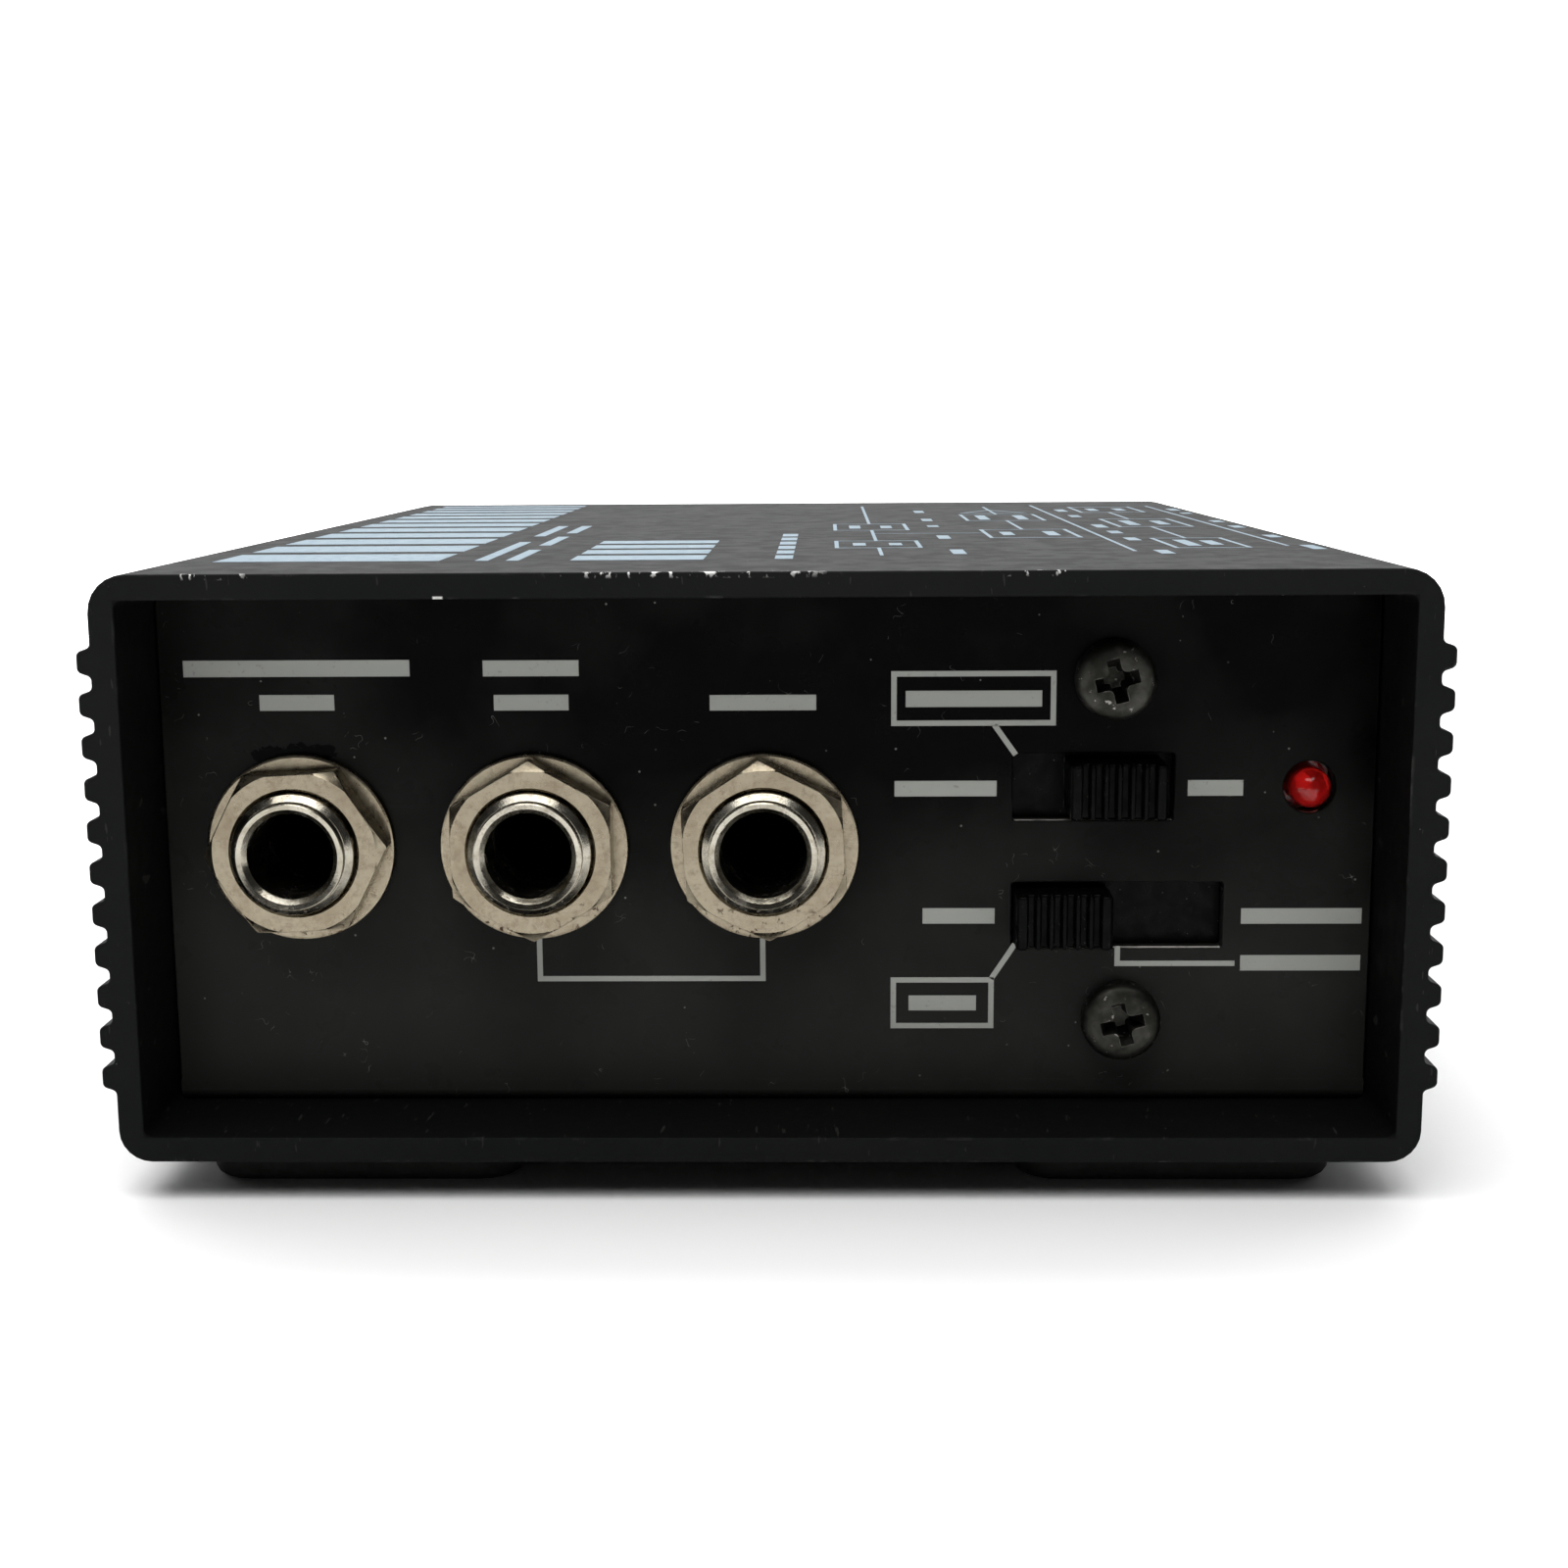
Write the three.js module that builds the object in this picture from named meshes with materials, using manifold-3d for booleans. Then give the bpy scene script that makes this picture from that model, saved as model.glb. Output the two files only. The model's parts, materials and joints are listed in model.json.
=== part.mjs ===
// Direct injection box: a ribbed aluminium sleeve on four rubber feet, with a recessed front
// panel (three jacks, two slide switches, a lamp) and a recessed rear panel (one three-pin
// output and a ground-lift switch). Millimetres, +Z up, +X to the viewer's right, the front
// faces -Y. The origin is on the floor, under the middle of the box.

import * as THREE from 'three';
import { mergeVertices } from 'three/addons/utils/BufferGeometryUtils.js';
import Module from 'manifold-3d';

const wasm = await Module();
wasm.setup();

// ---------------------------------------------------------------- driving dimensions

// case
const DEPTH = 122;
const WIDTH = 97;              // across the flat of the sides, without the ribs
const HEIGHT = 44;
const WALL = 1.9;
const FOOT_HEIGHT = 3;
const RIB_COUNT = 11;
const RIB_PITCH = 3.11;
const RIB_FIRST = 6.57;        // first rib's centre above the sleeve's underside
const RIB_DEPTH = 1.0;
const RIB_BASE = 2.1;
const RIB_TIP = 1.4;
const CORNER_TOP = 2.8;
const CORNER_BOTTOM = 2.4;
const CORNER_INSIDE = 0.7;

// panels
const RECESS = 9;              // from the rim of the sleeve to the face of a panel
const PANEL_THICK = 1.5;
const PANEL_SIDE_GAP = 0.2;
const FLANGE_LENGTH = 13.5;    // foot of the folded panel, lying on the sleeve's floor

// feet and the screws that hold them
const FOOT_SIZE = 24.3;
const FOOT_X = 31.15;
const FOOT_Y = 44.85;
const FOOT_CORNER = 3.2;
const SCREW_R = 1.5;
const SCREW_HEAD_R = 2.75;
const SCREW_HEAD_H = 1.6;
const SCREW_LENGTH = 6.3;
const CLEAR_HOLE_R = 1.7;
const TAPPED_HOLE_R = 1.6;

// jacks
const JACKS = { unbalanced_out: -35.9, parallel_out: -17.9, input: -0.2 };
const JACK_Z = 25.35;
const BORE_R = 3.35;
const THREAD_R = 4.75;
const BUSHING_PROUD = 4.6;     // in front of the panel's face
const WASHER_R = 7.25;
const WASHER_THICK = 0.8;
const NUT_FLATS = 12.2;
const NUT_THICK = 2.2;
const NUT_TURN = { unbalanced_out: -3, parallel_out: 29.5, input: 26.7 };   // degrees
const JACK_BODY = 15;
const JACK_BODY_LENGTH = 26;
const CONTACT_WIDTH = 2.2;

// slide switches: window, knob at rest and travel along X
const KNOB_WIDTH = 7.36;
const KNOB_HEIGHT = 4.2;
const KNOB_PROUD = 3;
const WINDOW_HEIGHT = 5.2;
const POWER = { z: 29.8, window: [18.8, 31.1], knob: 26.6, travel: -4 };
const ATTENUATOR = { z: 19.75, window: [18.8, 35.1], knob: 22.63, travel: 8 };
const GROUND = { z: 25.35, window: [-28.2, -15.9], knob: -24.1, travel: 4 };
const SLIDER_OVERLAP = 0.9;    // base beyond the knob's travel, so that it fills the window
const SLIDER_PLAY = 0.3;
const SWITCH_DEPTH = 7;

// lamp and the two screws of the front panel
const LED = { x: 41.4, z: 29.75, r: 1.55, hole: 2.0 };
const PANEL_SCREWS = { upper: [26.4, 38.15], lower: [27.3, 11.55] };
const PANEL_SCREW_HEAD_R = 3.05;
const STANDOFF_R = 2.8;

// rear three-pin output
const XLR_X = -12;
const XLR_Z = 25.35;
const XLR_CUP_R = 8.1;
const XLR_BARREL_R = 10;
const XLR_PIN_R = 1.2;
const XLR_PIN_CIRCLE = 4.75;

// boards
const BOARD_THICK = 1.6;

// derived
const FLOOR = FOOT_HEIGHT + WALL;
const CEILING = FOOT_HEIGHT + HEIGHT - WALL;
const FACE_Y = -DEPTH / 2 + RECESS;          // front face of the front panel
const BACK_Y = FACE_Y + PANEL_THICK;         // rear face of the front panel
const BOARD_TOP = JACK_Z - JACK_BODY / 2;
const SWITCH_BOARD_Y = BACK_Y + SWITCH_DEPTH;

// ---------------------------------------------------------------- solids

const root = new THREE.Group();
root.name = 'direct_injection_box';

function signedVolume(p, t) {
  const [a, b, c] = [new THREE.Vector3(), new THREE.Vector3(), new THREE.Vector3()];
  let sum = 0;
  for (let i = 0; i < t.length; i += 3) {
    a.fromArray(p, t[i] * 3);
    b.fromArray(p, t[i + 1] * 3);
    c.fromArray(p, t[i + 2] * 3);
    sum += a.dot(b.cross(c)) / 6;
  }
  return sum;
}

// A closed solid from a three.js geometry, whichever way its triangles faced.
function solid(geometry) {
  geometry.deleteAttribute('normal');
  geometry.deleteAttribute('uv');
  const merged = mergeVertices(geometry, 1e-4);
  const points = merged.attributes.position.array;
  const index = merged.index.array;
  const triangles = [];
  for (let i = 0; i < index.length; i += 3) {
    const [a, b, c] = [index[i], index[i + 1], index[i + 2]];
    if (a !== b && b !== c && c !== a) triangles.push(a, b, c);
  }
  if (signedVolume(points, triangles) < 0) triangles.reverse();
  return new wasm.Manifold(new wasm.Mesh({
    numProp: 3,
    vertProperties: new Float32Array(points),
    triVerts: new Uint32Array(triangles),
  }));
}

function box(x0, x1, y0, y1, z0, z1) {
  const g = new THREE.BoxGeometry(x1 - x0, y1 - y0, z1 - z0);
  g.translate((x0 + x1) / 2, (y0 + y1) / 2, (z0 + z1) / 2);
  return solid(g);
}

// Round bar along Y, centred on (x, z).
function barY(r, x, z, y0, y1, sides = 24) {
  const g = new THREE.CylinderGeometry(r, r, y1 - y0, sides);
  g.translate(x, (y0 + y1) / 2, z);
  return solid(g);
}

// Round bar along Z, centred on (x, y).
function barZ(r, x, y, z0, z1, sides = 16) {
  const g = new THREE.CylinderGeometry(r, r, z1 - z0, sides);
  g.rotateX(Math.PI / 2);
  g.translate(x, y, (z0 + z1) / 2);
  return solid(g);
}

// A turned piece about the Y axis: profile is a closed loop of [radius, y].
function turned(profile, sides = 24) {
  const points = [...profile, profile[0]].map(([r, y]) => new THREE.Vector2(r, y));
  return solid(new THREE.LatheGeometry(points, sides));
}

// An outline of [x, z] pairs, extruded along Y from y0 to y1.
function extrudeY(outline, y0, y1, hole = null) {
  const shape = new THREE.Shape(outline.map(([x, z]) => new THREE.Vector2(x, z)));
  if (hole) shape.holes.push(new THREE.Path(hole.map(([x, z]) => new THREE.Vector2(x, z))));
  const g = new THREE.ExtrudeGeometry(shape, { depth: y1 - y0, bevelEnabled: false });
  g.rotateX(Math.PI / 2);
  g.translate(0, y1, 0);
  return solid(g);
}

// An outline of [y, z] pairs, extruded along X from x0 to x1.
function extrudeX(outline, x0, x1) {
  const shape = new THREE.Shape(outline.map(([y, z]) => new THREE.Vector2(y, z)));
  const g = new THREE.ExtrudeGeometry(shape, { depth: x1 - x0, bevelEnabled: false });
  const turn = new THREE.Matrix4().makeBasis(
    new THREE.Vector3(0, 1, 0),
    new THREE.Vector3(0, 0, 1),
    new THREE.Vector3(1, 0, 0),
  );
  g.applyMatrix4(turn);
  g.translate(x0, 0, 0);
  return solid(g);
}

// An outline of [x, y] pairs, extruded along Z from z0 to z1.
function extrudeZ(outline, z0, z1) {
  const shape = new THREE.Shape(outline.map(([x, y]) => new THREE.Vector2(x, y)));
  const g = new THREE.ExtrudeGeometry(shape, { depth: z1 - z0, bevelEnabled: false });
  g.translate(0, 0, z0);
  return solid(g);
}

function arc(cx, cy, r, from, to, steps) {
  const points = [];
  for (let i = 0; i <= steps; i += 1) {
    const a = THREE.MathUtils.degToRad(from + ((to - from) * i) / steps);
    points.push([cx + r * Math.cos(a), cy + r * Math.sin(a)]);
  }
  return points;
}

function roundedRect(x0, x1, z0, z1, r, steps = 3) {
  return [
    ...arc(x1 - r, z0 + r, r, -90, 0, steps),
    ...arc(x1 - r, z1 - r, r, 0, 90, steps),
    ...arc(x0 + r, z1 - r, r, 90, 180, steps),
    ...arc(x0 + r, z0 + r, r, 180, 270, steps),
  ];
}

function polygon(flats, turnDegrees = 0) {
  const r = flats / 2 / Math.cos(Math.PI / 6);
  return arc(0, 0, r, turnDegrees, turnDegrees + 300, 5);
}

function cut(body, ...tools) {
  return tools.reduce((rest, tool) => rest.subtract(tool), body);
}

function join(body, ...more) {
  return more.reduce((sum, piece) => sum.add(piece), body);
}

function material(name, color, roughness, metalness) {
  const m = new THREE.MeshStandardMaterial({ color, roughness, metalness });
  m.name = name;
  return m;
}

const MATERIALS = {
  sleevePaint: () => material('sleeve_paint', 0x3a3a38, 0.45, 0.2),
  panelPaint: () => material('panel_paint', 0x1d1d1c, 0.6, 0.2),
  rubber: () => material('rubber', 0x141414, 0.85, 0),
  blackScrew: () => material('black_screw', 0x1c1c1c, 0.4, 0.8),
  nickel: () => material('nickel', 0xb5b2aa, 0.3, 1),
  zinc: () => material('zinc', 0xa8aaac, 0.35, 1),
  plastic: () => material('black_plastic', 0x18181a, 0.5, 0),
  circuitBoard: () => material('circuit_board', 0x1f4a2c, 0.5, 0),
  bronze: () => material('contact_bronze', 0xb98a4e, 0.35, 1),
  redLens: () => material('red_lens', 0xb01818, 0.15, 0),
  nylon: () => material('nylon', 0xd8d6cc, 0.55, 0),
  laminations: () => material('laminations', 0x6c6b68, 0.5, 0.7),
  windingTape: () => material('winding_tape', 0xc9a23a, 0.6, 0),
  capacitorSleeve: () => material('capacitor_sleeve', 0x23355c, 0.4, 0),
  batteryCan: () => material('battery_can', 0x3b4a52, 0.4, 0.3),
  spring: () => material('spring_steel', 0x9a9c9e, 0.35, 1),
  gold: () => material('gold_pin', 0xd2b26a, 0.25, 1),
};

function place(name, body, materialName, { at = [0, 0, 0], turn = [0, 0, 0] } = {}) {
  const result = body.getMesh();
  const geometry = new THREE.BufferGeometry();
  geometry.setAttribute('position', new THREE.BufferAttribute(result.vertProperties, 3));
  geometry.setIndex(new THREE.BufferAttribute(result.triVerts, 1));
  geometry.computeVertexNormals();
  const mesh = new THREE.Mesh(geometry, MATERIALS[materialName]());
  mesh.name = name;
  mesh.position.set(...at);
  mesh.rotation.set(...turn.map(THREE.MathUtils.degToRad));
  root.add(mesh);
}

// ---------------------------------------------------------------- case

function sleeveSide() {
  const x = WIDTH / 2;
  const side = arc(x - CORNER_BOTTOM, FOOT_HEIGHT + CORNER_BOTTOM, CORNER_BOTTOM, -90, 0, 4);
  for (let i = 0; i < RIB_COUNT; i += 1) {
    const z = FOOT_HEIGHT + RIB_FIRST + i * RIB_PITCH;
    side.push([x, z - RIB_BASE / 2], [x + RIB_DEPTH, z - RIB_TIP / 2]);
    side.push([x + RIB_DEPTH, z + RIB_TIP / 2], [x, z + RIB_BASE / 2]);
  }
  const top = FOOT_HEIGHT + HEIGHT - CORNER_TOP;
  side.push(...arc(x - CORNER_TOP, top, CORNER_TOP, 0, 90, 4));
  return side;
}

function caseSleeve() {
  const right = sleeveSide();
  const left = right.map(([x, z]) => [-x, z]).reverse();
  const inside = roundedRect(
    -WIDTH / 2 + WALL, WIDTH / 2 - WALL, FLOOR, CEILING, CORNER_INSIDE,
  );
  const holes = footCentres().map(([x, y]) => barZ(CLEAR_HOLE_R, x, y, 0, FLOOR + 1, 12));
  return cut(extrudeY([...right, ...left], -DEPTH / 2, DEPTH / 2, inside), ...holes);
}

function footCentres() {
  return [[-FOOT_X, -FOOT_Y], [FOOT_X, -FOOT_Y], [-FOOT_X, FOOT_Y], [FOOT_X, FOOT_Y]];
}

// A square pad with its lower edge eased off and a counterbored hole for its screw.
function foot() {
  const half = FOOT_SIZE / 2;
  const ease = 0.9;
  const layers = [
    extrudeZ(roundedRect(-half, half, -half, half, FOOT_CORNER, 2), ease, FOOT_HEIGHT),
    extrudeZ(roundedRect(-half + ease, half - ease, -half + ease, half - ease, FOOT_CORNER, 2),
      0, ease),
  ];
  const counterbore = barZ(SCREW_HEAD_R + 0.6, 0, 0, -1, 2, 12);
  return cut(join(...layers), counterbore, barZ(CLEAR_HOLE_R, 0, 0, -1, FOOT_HEIGHT + 1, 12));
}

// Pan-head screw along Y: head towards -Y with its seat at y = 0, shank towards +Y.
function panScrew(headR, headH, length, sides = 16) {
  const body = turned([
    [0, -headH], [headR * 0.62, -headH * 0.95], [headR * 0.92, -headH * 0.76],
    [headR, -headH * 0.45], [headR, 0], [SCREW_R, 0], [SCREW_R, length], [0, length],
  ], sides);
  const slot = [headR * 0.62, headR * 0.17];
  const cross = join(
    box(-slot[0], slot[0], -headH - 1, -headH * 0.45, -slot[1], slot[1]),
    box(-slot[1], slot[1], -headH - 1, -headH * 0.45, -slot[0], slot[0]),
  );
  return cut(body, cross);
}

// Sheet panel folded at its foot; the face is at y = -DEPTH / 2 + RECESS.
function foldedPanel(holes) {
  const bend = 0.8;
  const fillet = 0.2;
  const top = CEILING + 1;
  const end = BACK_Y + FLANGE_LENGTH - PANEL_THICK;
  const section = [
    ...arc(FACE_Y + bend, FLOOR + bend, bend, 180, 270, 4),
    [end, FLOOR],
    [end, FLOOR + PANEL_THICK],
    ...arc(BACK_Y + fillet, FLOOR + PANEL_THICK + fillet, fillet, 270, 180, 2),
    [BACK_Y, top],
    [FACE_Y, top],
  ];
  const half = WIDTH / 2 - WALL - PANEL_SIDE_GAP;
  const opening = extrudeY(
    roundedRect(-half, half, FLOOR, CEILING - 0.15, 1), FACE_Y - 1, end + 1,
  );
  const screws = [-FOOT_X, FOOT_X].map(
    (x) => barZ(TAPPED_HOLE_R, x, -FOOT_Y, FLOOR - 1, FLOOR + 3, 12),
  );
  return cut(extrudeX(section, -half, half).intersect(opening), ...screws, ...holes);
}

function windowOf(s) {
  const half = WINDOW_HEIGHT / 2;
  return box(s.window[0], s.window[1], FACE_Y - 1, BACK_Y + 1, s.z - half, s.z + half);
}

function holeInPanel(r, x, z, sides = 24) {
  return barY(r, x, z, FACE_Y - 1, BACK_Y + 1, sides);
}

function frontPanel() {
  return foldedPanel([
    ...Object.values(JACKS).map((x) => holeInPanel(THREAD_R + 0.25, x, JACK_Z)),
    ...Object.values(PANEL_SCREWS).map(([x, z]) => holeInPanel(CLEAR_HOLE_R, x, z, 12)),
    holeInPanel(LED.hole, LED.x, LED.z, 16),
    windowOf(POWER),
    windowOf(ATTENUATOR),
  ]);
}

// Modelled facing the front like the other panel, then turned about Z when placed.
function rearPanel() {
  return foldedPanel([
    holeInPanel(XLR_BARREL_R + 0.4, -XLR_X, XLR_Z, 28),
    ...xlrScrewOffsets().map(([x, z]) => holeInPanel(CLEAR_HOLE_R, -XLR_X - x, XLR_Z + z, 12)),
    windowOf(GROUND),
  ]);
}

function addCase() {
  place('case_sleeve', caseSleeve(), 'sleevePaint');
  place('front_panel', frontPanel(), 'panelPaint');
  place('rear_panel', rearPanel(), 'panelPaint', { turn: [0, 0, 180] });
  const names = ['front_left', 'front_right', 'rear_left', 'rear_right'];
  footCentres().forEach(([x, y], i) => {
    place(`foot_${names[i]}`, foot(), 'rubber', { at: [x, y, 0] });
    const screw = panScrew(SCREW_HEAD_R, SCREW_HEAD_H, SCREW_LENGTH, 10);
    place(`foot_screw_${names[i]}`, screw, 'zinc', { at: [x, y, 2], turn: [90, 0, 0] });
  });
}

// ---------------------------------------------------------------- jacks

// Threaded bushing: y = 0 is the panel's face, the mouth is towards -Y.
function bushing() {
  const rear = PANEL_THICK + 2;
  return turned([
    [THREAD_R, rear], [THREAD_R, -BUSHING_PROUD + 0.7], [THREAD_R - 0.4, -BUSHING_PROUD],
    [BORE_R + 0.4, -BUSHING_PROUD], [BORE_R, -BUSHING_PROUD + 0.4], [BORE_R, rear],
  ]);
}

function washer() {
  const inner = THREAD_R + 0.2;
  return turned([
    [inner, 0], [inner, -WASHER_THICK], [WASHER_R - 0.2, -WASHER_THICK],
    [WASHER_R, -WASHER_THICK + 0.2], [WASHER_R, 0],
  ]);
}

function nut(flats, thick, holeR, sides = 24) {
  const hex = extrudeY(polygon(flats), -thick, 0);
  const across = flats / 2 / Math.cos(Math.PI / 6);
  const chamfer = turned([
    [0, 0], [across + 0.1, 0], [across + 0.1, -thick * 0.65], [flats / 2, -thick],
    [0, -thick],
  ], 24);
  return cut(hex.intersect(chamfer), barY(holeR, 0, 0, -thick - 1, 1, sides));
}

// Moulded body behind the panel: bored for the plug, slotted above for the spring contact.
function jackBody() {
  const half = JACK_BODY / 2;
  const y0 = PANEL_THICK;
  const y1 = y0 + JACK_BODY_LENGTH;
  return cut(
    box(-half, half, y0, y1, -half, half),
    barY(THREAD_R + 0.1, 0, 0, y0 - 1, y0 + 2),
    barY(BORE_R, 0, 0, y0, y1 - 1.5),
    box(-1.5, 1.5, y0 + 7, y1 - 3, 2, half + 1),
    box(-1.5, 1.5, y0 + 4.4, y0 + 7.1, 5.5, half + 1),
  );
}

// Bent strip that presses on the plug's tip; it hinges on the round bead at its front end.
function tipContact() {
  const t = 0.2;
  const line = [[0.55, -0.05], [11, -1.7], [13.9, -3.6], [16.2, -1.9]];
  const upper = line.map(([y, z]) => [y, z + t]);
  const lower = line.map(([y, z]) => [y, z - t]).reverse();
  const strip = extrudeX([...lower, ...upper], -CONTACT_WIDTH / 2, CONTACT_WIDTH / 2);
  const bead = extrudeX(arc(0, 0, 0.65, 0, 315, 7), -CONTACT_WIDTH / 2, CONTACT_WIDTH / 2);
  return join(strip, bead);
}

function addJacks() {
  for (const [name, x] of Object.entries(JACKS)) {
    const face = [x, FACE_Y, JACK_Z];
    const onWasher = [x, FACE_Y - WASHER_THICK, JACK_Z];
    const pivot = [x, BACK_Y + 6, JACK_Z + 6.3];
    const hexNut = nut(NUT_FLATS, NUT_THICK, THREAD_R + 0.1);
    place(`${name}_jack_bushing`, bushing(), 'nickel', { at: face });
    place(`${name}_jack_washer`, washer(), 'nickel', { at: face });
    place(`${name}_jack_nut`, hexNut, 'nickel', { at: onWasher, turn: [0, NUT_TURN[name], 0] });
    place(`${name}_jack_body`, jackBody(), 'plastic', { at: face });
    place(`${name}_jack_contact`, tipContact(), 'bronze', { at: pivot });
  }
}

// ---------------------------------------------------------------- switches and lamp

function sliderReach(s) {
  return KNOB_WIDTH / 2 + Math.abs(s.travel) + SLIDER_OVERLAP;
}

// Open-fronted housing behind a window of a panel, seated on the panel's back.
function switchHousing(s) {
  const wall = 0.9;
  const reach = sliderReach(s) + SLIDER_PLAY;
  const x0 = s.knob + Math.min(0, s.travel) - reach;
  const x1 = s.knob + Math.max(0, s.travel) + reach;
  return cut(
    box(x0 - wall, x1 + wall, BACK_Y, BACK_Y + SWITCH_DEPTH, s.z - 4.5, s.z + 4.5),
    box(x0, x1, BACK_Y - 1, BACK_Y + 4, s.z - 3.6, s.z + 3.6),
  );
}

// Ridged knob on a wider base that runs inside the housing.
function switchSlider(s) {
  const [half, base] = [KNOB_WIDTH / 2, sliderReach(s)];
  const front = FACE_Y - KNOB_PROUD;
  const seat = BACK_Y + 0.3;
  const tall = KNOB_HEIGHT / 2;
  const body = join(
    box(s.knob - half, s.knob + half, front, seat + 1, s.z - tall, s.z + tall),
    box(s.knob - base, s.knob + base, seat, seat + 3.2, s.z - 3.3, s.z + 3.3),
  );
  const grooves = [-3, -2, -1, 0, 1, 2].map((i) => {
    const x = s.knob + i + 0.5;
    return box(x - 0.28, x + 0.28, front - 1, front + 0.9, s.z - 3, s.z + 3);
  });
  return cut(body, ...grooves);
}

function addSwitches() {
  place('power_switch_housing', switchHousing(POWER), 'plastic');
  place('power_switch_slider', switchSlider(POWER), 'plastic');
  place('attenuator_switch_housing', switchHousing(ATTENUATOR), 'plastic');
  place('attenuator_switch_slider', switchSlider(ATTENUATOR), 'plastic');
  const rear = { turn: [0, 0, 180] };
  place('ground_lift_switch_housing', switchHousing(GROUND), 'plastic', rear);
  place('ground_lift_switch_slider', switchSlider(GROUND), 'plastic', rear);
}

function addLamp() {
  const r = LED.r;
  const lens = turned([
    [0, -1.7], [r * 0.5, -1.5], [r * 0.87, -0.95], [r, -0.2],
    [r, 2.7], [r + 0.35, 2.7], [r + 0.35, 3.7], [0, 3.7],
  ], 14);
  const end = SWITCH_BOARD_Y - FACE_Y;
  const spacer = turned([[1.2, 3.7], [2.3, 3.7], [2.3, end], [1.2, end]], 10);
  place('power_lamp', lens, 'redLens', { at: [LED.x, FACE_Y, LED.z] });
  place('power_lamp_spacer', spacer, 'nylon', { at: [LED.x, FACE_Y, LED.z] });
}

// Upright board that carries both front switches and the lamp.
function addSwitchBoard() {
  const centres = Object.values(PANEL_SCREWS);
  const plate = box(8.2, 46, SWITCH_BOARD_Y, SWITCH_BOARD_Y + BOARD_THICK, 8.5, 42);
  const holes = centres.map(([x, z]) => barY(CLEAR_HOLE_R, x, z, -50, -30, 12));
  place('switch_board', cut(plate, ...holes), 'circuitBoard');
  for (const [name, [x, z]] of Object.entries(PANEL_SCREWS)) {
    const inner = CLEAR_HOLE_R;
    const tube = turned([
      [inner, 0], [STANDOFF_R, 0], [STANDOFF_R, SWITCH_DEPTH], [inner, SWITCH_DEPTH],
    ], 12);
    const backNut = nut(5.5, 2, TAPPED_HOLE_R, 12);
    const nutY = SWITCH_BOARD_Y + BOARD_THICK + 2;
    const screw = panScrew(PANEL_SCREW_HEAD_R, 2, 12.4, 14);
    place(`panel_screw_${name}`, screw, 'blackScrew', { at: [x, FACE_Y, z], turn: [0, -18, 0] });
    place(`switch_board_standoff_${name}`, tube, 'zinc', { at: [x, BACK_Y, z] });
    place(`switch_board_nut_${name}`, backNut, 'zinc', { at: [x, nutY, z] });
  }
}

// ---------------------------------------------------------------- main board and battery

function mainBoard() {
  const [left, right, front, rear] = [-45, 45, -48, 48.5];
  const outline = [
    [left, front], [7.8, front], [7.8, -38], [right, -38], [right, rear],
    [XLR_X + 11.5, rear], [XLR_X + 11.5, 29], [XLR_X - 11.5, 29], [XLR_X - 11.5, rear],
    [left, rear],
  ];
  const holes = [-FOOT_X, FOOT_X].map((x) => barZ(TAPPED_HOLE_R, x, FOOT_Y, 10, 20, 12));
  return cut(extrudeZ(outline, BOARD_TOP - BOARD_THICK, BOARD_TOP), ...holes);
}

// Snap-in post: stands on the rear panel's flange and grips the board at its top.
function boardPost() {
  const seat = FLOOR + PANEL_THICK;
  const under = BOARD_TOP - BOARD_THICK;
  const post = turned([
    [0, seat], [2.8, seat], [2.8, under], [1.4, under],
    [1.4, BOARD_TOP], [2.0, BOARD_TOP], [1.2, BOARD_TOP + 1.2], [0, BOARD_TOP + 1.2],
  ], 12);
  const screwHole = barY(TAPPED_HOLE_R, 0, 0, seat - 1, seat + 3, 12);
  return cut(post, screwHole);
}

function transformerCore() {
  const block = box(-12, 12, -8, 8, 0, 20);
  const windows = [-6, 6].map((x) => box(x - 2, x + 2, -9, 9, 4, 16));
  return cut(block, ...windows);
}

function transformerCoil() {
  const outer = extrudeZ(roundedRect(-7.8, 7.8, -12, 12, 2, 2), 4.2, 15.8);
  return cut(outer, box(-4.15, 4.15, -8.15, 8.15, 4, 16));
}

function amplifierChip() {
  const legs = [];
  for (let i = 0; i < 4; i += 1) {
    const y = -3.81 + i * 2.54;
    legs.push(box(-3.9, -3.1, y - 0.25, y + 0.25, 0, 2));
    legs.push(box(3.1, 3.9, y - 0.25, y + 0.25, 0, 2));
  }
  return join(box(-3.2, 3.2, -4.9, 4.9, 0.6, 3.9), ...legs);
}

function capacitor() {
  return turned([
    [0, 0], [4, 0], [4, 1], [3.75, 1.4], [4, 1.8], [4, 11.6], [3.6, 12], [0, 12],
  ], 12);
}

// Nine-volt block lying flat, its two terminals towards the front.
const BATTERY = { x: 30.2, front: -22, width: 26.5, length: 48.5, thick: 17.5 };

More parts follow.
